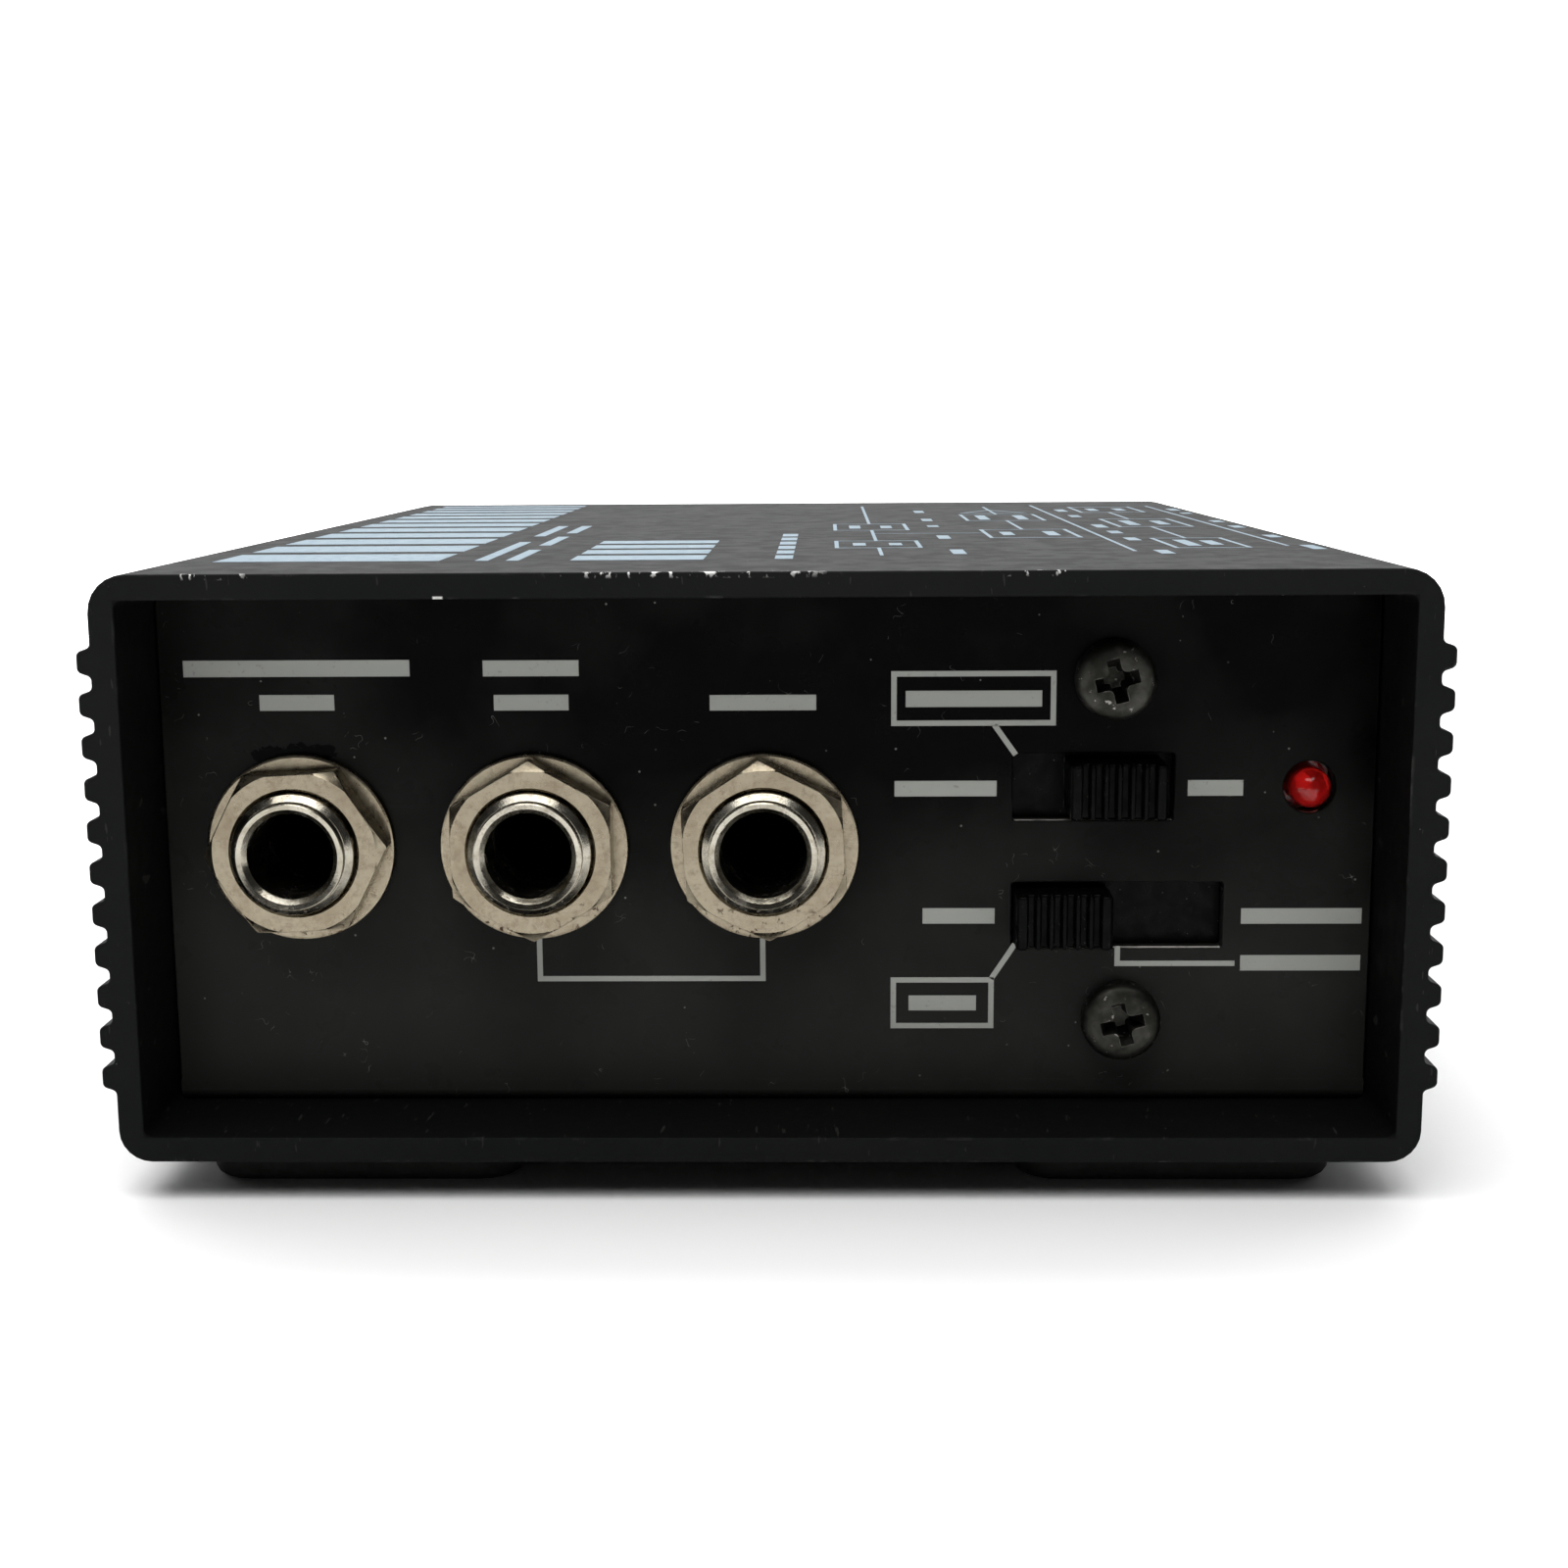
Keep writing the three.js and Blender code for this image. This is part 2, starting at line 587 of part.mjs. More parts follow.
function addBattery() {
  const { x, front, width, length, thick } = BATTERY;
  const middle = BOARD_TOP + thick / 2;
  const poles = [-6.35, 6.35].map((dx) => barY(2.9, x + dx, middle, front - 2.4, front + 1, 12));
  const can = box(x - width / 2, x + width / 2, front, front + length,
    BOARD_TOP, BOARD_TOP + thick);
  const cap = box(x - 12.7, x + 12.7, front - 3.4, front - 0.4, middle - 7.5, middle + 7.5);
  const sockets = [-6.35, 6.35].map((dx) => barY(3.05, x + dx, middle, front - 3, front, 12));
  place('battery', join(can, ...poles), 'batteryCan');
  place('battery_snap', cut(cap, ...sockets), 'plastic');
  const [inner, t] = [width / 2 + 0.15, 0.8];
  const roof = BOARD_TOP + thick + 0.15;
  const strap = [
    [x - inner - t, BOARD_TOP], [x - inner, BOARD_TOP], [x - inner, roof],
    [x + inner, roof], [x + inner, BOARD_TOP], [x + inner + t, BOARD_TOP],
    [x + inner + t, roof + t], [x - inner - t, roof + t],
  ];
  place('battery_bracket', extrudeY(strap, -4, 14), 'spring');
}

function addBoard() {
  place('main_board', mainBoard(), 'circuitBoard');
  const upright = [90, 0, 0];
  place('board_post_left', boardPost(), 'nylon', { at: [-FOOT_X, FOOT_Y, 0], turn: upright });
  place('board_post_right', boardPost(), 'nylon', { at: [FOOT_X, FOOT_Y, 0], turn: upright });
  const seat = [-30, -6, BOARD_TOP];
  place('output_transformer_core', transformerCore(), 'laminations', { at: seat });
  place('output_transformer_coil', transformerCoil(), 'windingTape', { at: seat });
  place('amplifier_chip', amplifierChip(), 'plastic', { at: [-6, -12, BOARD_TOP] });
  const can = capacitor();
  const stand = { turn: upright };
  place('supply_capacitor', can, 'capacitorSleeve', { at: [-9, 8, BOARD_TOP], ...stand });
  place('coupling_capacitor', can, 'capacitorSleeve', { at: [4, 8, BOARD_TOP], ...stand });
}

// ---------------------------------------------------------------- rear output

function xlrScrewOffsets() {
  return [[-9.5, 12], [9.5, -12]];
}

// Flange and cup; y = 0 is the rear panel's outer face, the mouth is towards +Y.
function xlrShell() {
  const tube = turned([
    [XLR_CUP_R, -18], [XLR_BARREL_R, -18], [XLR_BARREL_R, 4.4], [XLR_BARREL_R - 0.6, 5],
    [XLR_CUP_R + 0.4, 5], [XLR_CUP_R, 4.6],
  ], 28);
  const plate = extrudeY(roundedRect(-13, 13, -15.5, 15.5, 2, 2), 0, 2);
  const bore = barY(XLR_CUP_R, 0, 0, -1, 3, 28);
  const holes = xlrScrewOffsets().map(([x, z]) => barY(CLEAR_HOLE_R, x, z, -1, 3, 12));
  return join(tube, cut(plate, bore, ...holes));
}

function xlrPinCentres() {
  return [[-90, 3], [30, 1], [150, 2]].map(([degrees, number]) => {
    const a = THREE.MathUtils.degToRad(degrees);
    return [XLR_PIN_CIRCLE * Math.cos(a), XLR_PIN_CIRCLE * Math.sin(a), number];
  });
}

function xlrInsert() {
  const disc = barY(XLR_CUP_R - 0.1, 0, 0, -18, -9, 28);
  const holes = xlrPinCentres().map(([x, z]) => barY(XLR_PIN_R + 0.1, x, z, -19, -8, 10));
  return cut(disc, ...holes);
}

function xlrPin() {
  return turned([
    [0, -21], [XLR_PIN_R * 0.7, -21], [XLR_PIN_R * 0.7, -18], [XLR_PIN_R, -18],
    [XLR_PIN_R, 1.8], [XLR_PIN_R * 0.6, 2.8], [0, 3],
  ], 10);
}

function addRearOutput() {
  const face = -FACE_Y;
  place('output_connector_shell', xlrShell(), 'nickel', { at: [XLR_X, face, XLR_Z] });
  place('output_connector_insert', xlrInsert(), 'plastic', { at: [XLR_X, face, XLR_Z] });
  for (const [x, z, number] of xlrPinCentres()) {
    const at = [XLR_X + x, face, XLR_Z + z];
    place(`output_connector_pin_${number}`, xlrPin(), 'gold', { at });
  }
  xlrScrewOffsets().forEach(([x, z], i) => {
    const screw = panScrew(SCREW_HEAD_R, SCREW_HEAD_H, SCREW_LENGTH, 10);
    const at = [XLR_X + x, face + 2, XLR_Z + z];
    place(`output_connector_screw_${i + 1}`, screw, 'blackScrew', { at, turn: [0, 0, 180] });
  });
}

addCase();
addJacks();
addSwitches();
addLamp();
addSwitchBoard();
addBoard();
addBattery();
addRearOutput();

export default root;
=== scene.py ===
"""Direct injection box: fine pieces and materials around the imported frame.

Lengths are in millimetres inside the builders and are scaled to metres when a piece is placed.
Panel hardware is built lying down, with local +Z pointing out of its panel.
"""
import json
import math
import random

import bmesh
import bpy
from mathutils import Matrix, Vector, geometry


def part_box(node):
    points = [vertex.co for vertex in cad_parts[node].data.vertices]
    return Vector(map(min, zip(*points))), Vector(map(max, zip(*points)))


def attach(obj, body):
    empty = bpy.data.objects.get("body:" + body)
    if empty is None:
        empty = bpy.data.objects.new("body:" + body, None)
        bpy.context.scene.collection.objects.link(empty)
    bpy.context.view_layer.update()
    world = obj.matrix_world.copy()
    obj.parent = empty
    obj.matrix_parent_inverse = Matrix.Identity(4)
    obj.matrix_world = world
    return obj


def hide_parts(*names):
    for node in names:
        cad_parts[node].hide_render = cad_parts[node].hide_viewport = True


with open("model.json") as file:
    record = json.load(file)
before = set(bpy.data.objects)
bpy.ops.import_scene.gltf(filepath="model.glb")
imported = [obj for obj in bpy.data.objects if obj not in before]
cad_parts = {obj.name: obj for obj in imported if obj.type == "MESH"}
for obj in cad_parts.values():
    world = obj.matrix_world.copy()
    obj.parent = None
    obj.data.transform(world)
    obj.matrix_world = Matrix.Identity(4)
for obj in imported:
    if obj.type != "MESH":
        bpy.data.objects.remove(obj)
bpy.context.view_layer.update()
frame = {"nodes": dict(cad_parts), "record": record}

MM = 0.001
SHELL = "enclosure"
JACKS = ("unbalanced_out", "parallel_out", "input")
CORNERS = ("front_left", "front_right", "rear_left", "rear_right")
FRONTWARD = Matrix.Rotation(math.pi / 2, 4, "X")
REARWARD = Matrix.Rotation(math.pi, 4, "Z") @ FRONTWARD
DOWNWARD = Matrix.Rotation(math.pi, 4, "X")


# ------------------------------------------------------------------ places from the frame

def low(node):
    return Vector(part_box(node)[0]) / MM


def high(node):
    return Vector(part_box(node)[1]) / MM


def middle(node):
    return (low(node) + high(node)) / 2


RIM = low("case_sleeve").y
TOP = high("case_sleeve").z
BOTTOM = low("case_sleeve").z
INK_THICK = 0.02
INK_SUNK = 0.01
SLEEVE_TOP = TOP - INK_THICK
FACE = low("front_panel").y
REAR_FACE = high("rear_panel").y
WALL = 1.9
RIBS = 11
RIB_PITCH = 3.11
RIB_FIRST = 6.57
RIB_BASE = 2.15
RIB_TIP = 1.45
RIB_DEPTH = 1.0
CORNER_TOP = 2.8
CORNER_BOTTOM = 2.4
RIB_VALLEY_EASE = 0.42
RIB_TIP_EASE = 0.46
FOOT_CORNER = 3.2
FOOT_EASE = 0.8
SMALL_SCREW = (2.75, 1.6, 6.3)     # head radius, head height, length
PANEL_SCREW = (3.05, 2.0, 12.4)


# ------------------------------------------------------------------ outlines

def circle(x, y, r, n=72):
    turn = 2 * math.pi / n
    return [(x + r * math.cos(i * turn), y + r * math.sin(i * turn)) for i in range(n)]


def rounded(corners, steps=5):
    """Closed outline from (x, y, radius) corners, each turned into an arc."""
    points = []
    count = len(corners)
    for i, (x, y, r) in enumerate(corners):
        here = Vector((x, y))
        before = (Vector(corners[i - 1][:2]) - here).normalized()
        after = (Vector(corners[(i + 1) % count][:2]) - here).normalized()
        if r <= 0:
            points.append((x, y))
            continue
        half = math.acos(max(-1, min(1, before.dot(after)))) / 2
        centre = here + (before + after).normalized() * (r / math.sin(half))
        start = here + before * (r / math.tan(half)) - centre
        end = here + after * (r / math.tan(half)) - centre
        a = math.atan2(start.y, start.x)
        sweep = (math.atan2(end.y, end.x) - a + math.pi) % (2 * math.pi) - math.pi
        for k in range(steps + 1):
            angle = a + sweep * k / steps
            points.append((centre.x + r * math.cos(angle), centre.y + r * math.sin(angle)))
    return points


def rectangle(x0, x1, y0, y1, r=0.0, steps=5):
    return rounded([(x0, y0, r), (x1, y0, r), (x1, y1, r), (x0, y1, r)], steps)


# ------------------------------------------------------------------ meshes

def evaluated(obj):
    """The final mesh of a scratch object, which is then removed."""
    bpy.context.view_layer.update()
    graph = bpy.context.evaluated_depsgraph_get()
    mesh = bpy.data.meshes.new_from_object(obj.evaluated_get(graph))
    bpy.data.objects.remove(obj)
    return mesh


def scratch(data):
    obj = bpy.data.objects.new("scratch", data)
    bpy.context.scene.collection.objects.link(obj)
    return obj


def plate(loops, thick, bevel=0.0, steps=3):
    """Flat piece from z = 0 to thick; later loops inside the first are holes."""
    curve = bpy.data.curves.new("outline", "CURVE")
    curve.dimensions = "2D"
    curve.fill_mode = "BOTH"
    for loop in loops:
        spline = curve.splines.new("POLY")
        spline.points.add(len(loop) - 1)
        for point, (x, y) in zip(spline.points, loop):
            point.co = (x, y, 0, 1)
        spline.use_cyclic_u = True
    curve.extrude = thick / 2 - bevel
    curve.bevel_depth = bevel
    curve.bevel_resolution = steps
    curve.offset = -bevel
    mesh = evaluated(scratch(curve))
    mesh.transform(Matrix.Translation((0, 0, thick / 2)))
    return weld(mesh)


def weld(mesh):
    bm = bmesh.new()
    bm.from_mesh(mesh)
    bmesh.ops.remove_doubles(bm, verts=bm.verts, dist=1e-4)
    bmesh.ops.recalc_face_normals(bm, faces=bm.faces)
    bm.to_mesh(mesh)
    bm.free()
    return mesh


def turned(profile, n=96, closed=False):
    """Piece turned about Z. Each entry is (radius, height) or a function of the angle."""
    bm = bmesh.new()
    rings = []
    for entry in profile:
        if not callable(entry) and entry[0] < 1e-6:
            rings.append([bm.verts.new((0, 0, entry[1]))])
            continue
        ring = []
        for i in range(n):
            a = 2 * math.pi * i / n
            r, h = entry(a) if callable(entry) else entry
            ring.append(bm.verts.new((r * math.cos(a), r * math.sin(a), h)))
        rings.append(ring)
    pairs = list(zip(rings, rings[1:]))
    if closed:
        pairs.append((rings[-1], rings[0]))
    for a, b in pairs:
        for i in range(n):
            j = (i + 1) % n
            if len(a) == 1:
                bm.faces.new((a[0], b[j], b[i]))
            elif len(b) == 1:
                bm.faces.new((a[i], a[j], b[0]))
            else:
                bm.faces.new((a[i], a[j], b[j], b[i]))
    bmesh.ops.recalc_face_normals(bm, faces=bm.faces)
    mesh = bpy.data.meshes.new("turned")
    bm.to_mesh(mesh)
    bm.free()
    return mesh


def loft(loops):
    """Closed skin through loops of (x, y, z) with equal counts, capped at both ends."""
    bm = bmesh.new()
    rows = [[bm.verts.new(p) for p in loop] for loop in loops]
    for a, b in zip(rows, rows[1:]):
        for i in range(len(a)):
            j = (i + 1) % len(a)
            bm.faces.new((a[i], a[j], b[j], b[i]))
    bm.faces.new(rows[0])
    bm.faces.new(rows[-1])
    bmesh.ops.recalc_face_normals(bm, faces=bm.faces)
    mesh = bpy.data.meshes.new("loft")
    bm.to_mesh(mesh)
    bm.free()
    return mesh


def moved(mesh, *transforms):
    for matrix in transforms:
        mesh.transform(matrix if isinstance(matrix, Matrix) else Matrix.Translation(matrix))
    return mesh


def joined(*meshes):
    bm = bmesh.new()
    for mesh in meshes:
        bm.from_mesh(mesh)
    mesh = bpy.data.meshes.new("joined")
    bm.to_mesh(mesh)
    bm.free()
    return mesh


def carved(mesh, *cutters):
    """The mesh with the cutters taken out of it."""
    body = scratch(mesh)
    tools = [scratch(cutter) for cutter in cutters]
    for tool in tools:
        step = body.modifiers.new("carve", "BOOLEAN")
        step.operation = "DIFFERENCE"
        step.solver = "EXACT"
        step.object = tool
    result = evaluated(body)
    for tool in tools:
        bpy.data.objects.remove(tool)
    return result


def block(x0, x1, y0, y1, z0, z1, bevel=0.15):
    mesh = plate([rectangle(x0, x1, y0, y1, bevel * 1.5)], z1 - z0, bevel)
    return moved(mesh, (0, 0, z0))


AXIS_ALIGNED = 0.99999      # part of a unit normal along one axis, above which a face stays flat


def piece(name, mesh, material, stands_for=(), body=SHELL, angle=32, flat=50):
    """Puts a finished mesh in the scene, in metres, riding on a body."""
    mesh.transform(Matrix.Scale(MM, 4))
    mesh.name = name
    mesh.materials.clear()
    mesh.materials.append(material)
    mesh.shade_smooth()
    mesh.set_sharp_from_angle(angle=math.radians(angle))
    for face in mesh.polygons:
        face.use_smooth = max(abs(part) for part in face.normal) < AXIS_ALIGNED
    obj = bpy.data.objects.new(name, mesh)
    bpy.context.scene.collection.objects.link(obj)
    evened = obj.modifiers.new("even_normals", "WEIGHTED_NORMAL")
    evened.keep_sharp = True
    evened.weight = flat
    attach(obj, body)
    if stands_for:
        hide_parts(*stands_for)
    return obj


# ------------------------------------------------------------------ material building

class Shader:
    """One Principled material whose textures are laid out in millimetres."""

    def __init__(self, name, color, roughness, **sockets):
        self.material = bpy.data.materials.new(name)
        self.material.use_nodes = True
        self.tree = self.material.node_tree
        self.surface = self.tree.nodes["Principled BSDF"]
        self.set("Base Color", (*color, 1))
        self.set("Roughness", roughness)
        for key, value in sockets.items():
            self.set(key.replace("_", " "), value)
        spot = self.node("TexCoord").outputs["Object"]
        self.place = self.node("Mapping", Vector=spot, Scale=(1 / MM,) * 3).outputs[0]
        self.heights = []

    def set(self, socket, value):
        target = self.surface.inputs[socket]
        if isinstance(value, bpy.types.NodeSocket):
            self.tree.links.new(value, target)
        else:
            target.default_value = value

    def node(self, kind, settings=None, **inputs):
        made = self.tree.nodes.new("ShaderNode" + kind)
        for key, value in (settings or {}).items():
            setattr(made, key, value)
        for key, value in inputs.items():
            self.feed(made.inputs[key.replace("_", " ")], value)
        return made

    def feed(self, socket, value):
        if isinstance(value, bpy.types.NodeSocket):
            self.tree.links.new(value, socket)
        else:
            socket.default_value = value

    def stretched(self, scale, offset=(0, 0, 0)):
        return self.node("Mapping", Vector=self.place, Scale=scale, Location=offset).outputs[0]

    def noise(self, per_mm, detail=3.0, roughness=0.5, stretch=None, offset=(0, 0, 0)):
        where = self.stretched(stretch or (1, 1, 1), offset)
        return self.node("TexNoise", Vector=where, Scale=per_mm, Detail=detail,
                         Roughness=roughness).outputs[0]

    def cells(self, per_mm, offset=(0, 0, 0)):
        where = self.stretched((1, 1, 1), offset)
        return self.node("TexVoronoi", Vector=where, Scale=per_mm).outputs["Distance"]

    def ramp(self, value, start, end, low_value=0.0, high_value=1.0):
        made = self.node("MapRange", {"interpolation_type": "SMOOTHSTEP"}, Value=value)
        for key, number in zip(("From Min", "From Max", "To Min", "To Max"),
                               (start, end, low_value, high_value)):
            made.inputs[key].default_value = number
        return made.outputs[0]

    def math(self, operation, a, b=0.0):
        made = self.node("Math", {"operation": operation})
        self.feed(made.inputs[0], a)
        self.feed(made.inputs[1], b)
        return made.outputs[0]

    def mix(self, factor, a, b):
        made = self.node("Mix", {"data_type": "RGBA"})
        self.feed(made.inputs[0], factor)
        for index, color in ((6, a), (7, b)):
            self.feed(made.inputs[index], (*color, 1) if isinstance(color, tuple) else color)
        return made.outputs[2]

    def axes(self):
        return self.node("SeparateXYZ", Vector=self.place).outputs

    def edges(self, radius, start=0.02, end=0.25):
        """1 on worn edges, from how far a rounded normal leans away from the true one."""
        soft = self.node("Bevel", {"samples": 4}, Radius=radius * MM).outputs[0]
        true = self.node("NewGeometry").outputs["Normal"]
        lean = self.node("VectorMath", {"operation": "DOT_PRODUCT"})
        self.tree.links.new(soft, lean.inputs[0])
        self.tree.links.new(true, lean.inputs[1])
        return self.ramp(self.math("SUBTRACT", 1.0, lean.outputs["Value"]), start, end)

    def bump(self, height, depth):
        """Adds relief of that depth in millimetres."""
        self.heights.append((height, depth))

    def done(self):
        normal = None
        for height, depth in self.heights:
            made = self.node("Bump", Height=height, Distance=depth * MM, Strength=1.0)
            if normal is not None:
                self.tree.links.new(normal, made.inputs["Normal"])
            normal = made.outputs[0]
        if normal is not None:
            self.set("Normal", normal)
        return self.material


# ------------------------------------------------------------------ materials

ALUMINIUM = (0.62, 0.62, 0.60)
CHIPPED = ((-5.0, 11.0), (19.5, 4.0), (-39.5, 3.0))     # runs of the top edge: middle and half
NICK_X = -23.2                                          # bare spot under the top lip


def sleeve_paint():
    """Fine-grained black enamel with painted shade inside the sleeve, chipped along the top front
    edge, its worn edges partly bare metal and partly a painted highlight.
    """
    s = Shader("sleeve_paint", (0.02, 0.02, 0.02), 0.68, Specular_IOR_Level=0.065)
    x, y, z = s.axes()
    patches = s.noise(0.035, 4)
    paint = s.mix(s.ramp(patches, 0.35, 0.7), (0.0060, 0.0066, 0.0066), (0.0082, 0.0086, 0.0084))
    wall = high("case_sleeve").x - RIB_DEPTH - WALL
    painted_shade_inside = s.math("MULTIPLY", s.ramp(s.math("ABSOLUTE", x), wall + 0.1, wall - 0.02),
                    s.math("MULTIPLY", s.ramp(z, BOTTOM + WALL - 0.1, BOTTOM + WALL + 0.02),
                           s.ramp(z, TOP - WALL + 0.1, TOP - WALL - 0.02)))
    # painted shade: the paint inside the sleeve's bore is darkened as if it lay in shade
    paint = s.mix(s.math("MULTIPLY", painted_shade_inside, 0.75), paint, (0.0012, 0.0012, 0.0011))
    dust = s.math("MULTIPLY", s.ramp(s.cells(0.9), 0.06, 0.02), s.ramp(s.noise(0.12), 0.5, 0.62))
    paint = s.mix(s.math("MULTIPLY", dust, 0.35), paint, (0.30, 0.29, 0.27))
    hairs = s.ramp(s.noise(1.1, 2, stretch=(2.4, 0.3, 0.5), offset=(4, 0, 0)), 0.70, 0.72)
    paint = s.mix(s.math("MULTIPLY", hairs, 0.05), paint, (0.30, 0.29, 0.27))
    upper_edge = s.math("MULTIPLY", s.ramp(y, RIM + 0.55, RIM + 0.12),
                        s.ramp(z, TOP - 0.50, TOP - 0.12))
    flakes = s.ramp(s.noise(1.5, 3, 0.6, stretch=(1, 0.6, 0.6)), 0.56, 0.60)
    runs = [s.ramp(s.math("ABSOLUTE", s.math("SUBTRACT", x, spot)), half, half * 0.5)
            for spot, half in CHIPPED]
    run = s.math("MAXIMUM", s.math("MAXIMUM", runs[0], runs[1]), runs[2])
    chips = s.math("MULTIPLY", s.math("MULTIPLY", flakes, run), upper_edge)
    # worn edges partly bared to metal, which also act as a painted edge highlight along the rims
    worn_edge_highlight = s.math("MULTIPLY", s.edges(0.30, 0.04, 0.3), s.ramp(s.noise(0.5, 4), 0.56, 0.70))
    nick = s.math("MULTIPLY", s.ramp(s.math("ABSOLUTE", s.math("SUBTRACT", x, NICK_X)), 0.42, 0.3),
                  s.ramp(s.math("ABSOLUTE", s.math("SUBTRACT", z, TOP - WALL)), 0.26, 0.16))
    nick = s.math("MULTIPLY", nick, s.ramp(y, RIM + 0.9, RIM + 0.6))
    bare = s.math("MAXIMUM", s.math("MAXIMUM", chips, nick), s.math("MULTIPLY", worn_edge_highlight, 0.35))
    s.set("Base Color", s.mix(bare, paint, ALUMINIUM))
    s.set("Metallic", s.math("MULTIPLY", bare, 0.9))
    s.set("Roughness", s.ramp(s.noise(0.5, 5), 0.3, 0.7, 0.60, 0.70))
    s.bump(s.noise(7.0, 2), 0.012)
    s.bump(bare, -0.05)
    return s.done()


DARK_PATCH = (-37.0, 32.6, 3.8, 0.85)    # darker patch on the panel: centre and half size


def panel_paint():
    """Smooth black panel with dust and a darker patch, painted light that grows towards the bottom
    and the left, worn edges that also act as a painted highlight, and bare metal on the switch
    windows' lower edges.
    """
    s = Shader("panel_paint", (0.012, 0.012, 0.012), 0.42, Specular_IOR_Level=0.035)
    x, y, z = s.axes()
    specks = s.math("MULTIPLY", s.ramp(s.cells(0.55), 0.060, 0.03),
                    s.ramp(s.noise(0.23, 2, offset=(7, 0, 2)), 0.50, 0.56))
    lint = s.math("MULTIPLY", s.ramp(s.noise(0.8, 1, offset=(1, 0, 5)), 0.497, 0.500),
                  s.ramp(s.noise(0.8, 1, offset=(1, 0, 5)), 0.506, 0.503))
    lint = s.math("MULTIPLY", lint, s.ramp(s.noise(0.45, 2, offset=(9, 0, 3)), 0.66, 0.70))
    dirt = s.math("MAXIMUM", s.math("MULTIPLY", specks, 0.38), s.math("MULTIPLY", lint, 0.26))
    # painted light: the panel grows lighter towards the bottom and the left, where more light
    # falls, with a little random tone mixed in
    painted_light_leftward = s.ramp(x, -18.0, -46.0, 0.0, 0.45)
    painted_light_downward = s.math("ADD", s.ramp(z, 40.0, 4.0), s.ramp(s.noise(0.08, 4), 0.3, 0.7, -0.2, 0.15))
    painted_light_gradient = s.mix(s.math("ADD", painted_light_downward, painted_light_leftward), (0.0006, 0.0006, 0.0006),
                 (0.0225, 0.0232, 0.0212))
    # a darker patch on the panel
    across = s.math("DIVIDE", s.math("SUBTRACT", x, DARK_PATCH[0]), DARK_PATCH[2])
    up = s.math("DIVIDE", s.math("SUBTRACT", z, DARK_PATCH[1]), DARK_PATCH[3])
    away = s.math("ADD", s.math("MULTIPLY", across, across), s.math("MULTIPLY", up, up))
    ragged = s.math("ADD", away, s.ramp(s.noise(0.7, 4, 0.6), 0.3, 0.7, -0.7, 0.9))
    painted_light_gradient = s.mix(s.ramp(ragged, 0.9, 0.7), painted_light_gradient, (0.0004, 0.0004, 0.0004))
    dust_and_painted_light = s.mix(dirt, painted_light_gradient, (0.42, 0.41, 0.39))
    facing = s.node("SeparateXYZ", Vector=s.node("NewGeometry").outputs["Normal"]).outputs[2]
    cut = s.math("MULTIPLY", s.ramp(facing, 0.9, 0.95), s.ramp(z, 8.0, 9.0))
    cut = s.math("MULTIPLY", cut, s.ramp(z, 36.0, 35.0))
    cut = s.math("MULTIPLY", cut, s.ramp(s.math("ABSOLUTE", y), -FACE - 0.55, -FACE - 0.45))
    cut = s.math("MULTIPLY", cut, s.ramp(s.noise(0.9, 3), 0.30, 0.46, 0.35, 0.9))
    # worn edges lightened, which also act as a painted edge highlight round the windows and rims
    worn_edge_highlight = s.math("MULTIPLY", s.edges(0.16, 0.02, 0.22), s.ramp(s.noise(0.6, 3), 0.42, 0.62))
    dust_and_painted_light = s.mix(s.math("MULTIPLY", worn_edge_highlight, 0.75), dust_and_painted_light, (0.060, 0.060, 0.055))
    s.set("Base Color", s.mix(cut, dust_and_painted_light, (0.85, 0.82, 0.76)))
    s.set("Roughness", s.ramp(s.noise(0.25, 5), 0.3, 0.7, 0.26, 0.36))
    s.bump(s.noise(5.0, 3), 0.004)
    return s.done()


def rubber():
    s = Shader("rubber", (0.012, 0.012, 0.012), 0.8, Specular_IOR_Level=0.15)
    s.set("Base Color", s.mix(s.noise(0.3, 5), (0.009, 0.009, 0.009), (0.022, 0.021, 0.020)))
    s.set("Roughness", s.ramp(s.noise(1.5, 4), 0.3, 0.7, 0.68, 0.9))
    s.bump(s.noise(3.0, 4), 0.03)
    return s.done()


def black_screw():
    """Blackened steel, dulled all over and worn lighter on its edges."""
    s = Shader("black_screw", (0.03, 0.03, 0.03), 0.4, Metallic=1.0)
    scars = s.math("MULTIPLY", s.ramp(s.noise(1.3, 4, 0.6, offset=(2, 0, 3)), 0.64, 0.68), 0.9)
    edge = s.math("MULTIPLY", s.edges(0.14, 0.03, 0.3), s.ramp(s.noise(1.6, 4), 0.40, 0.65))
    bare = s.math("MAXIMUM", scars, s.math("MULTIPLY", edge, 0.7))
    dull = s.mix(s.ramp(s.noise(0.45, 4), 0.40, 0.60), (0.028, 0.028, 0.024),
                 (0.062, 0.061, 0.054))
    s.set("Base Color", s.mix(bare, dull, (0.36, 0.35, 0.32)))
    s.set("Roughness", s.ramp(s.noise(2.0, 4), 0.3, 0.7, 0.42, 0.60))
    s.bump(s.noise(2.2, 5, 0.6), 0.03)
    return s.done()


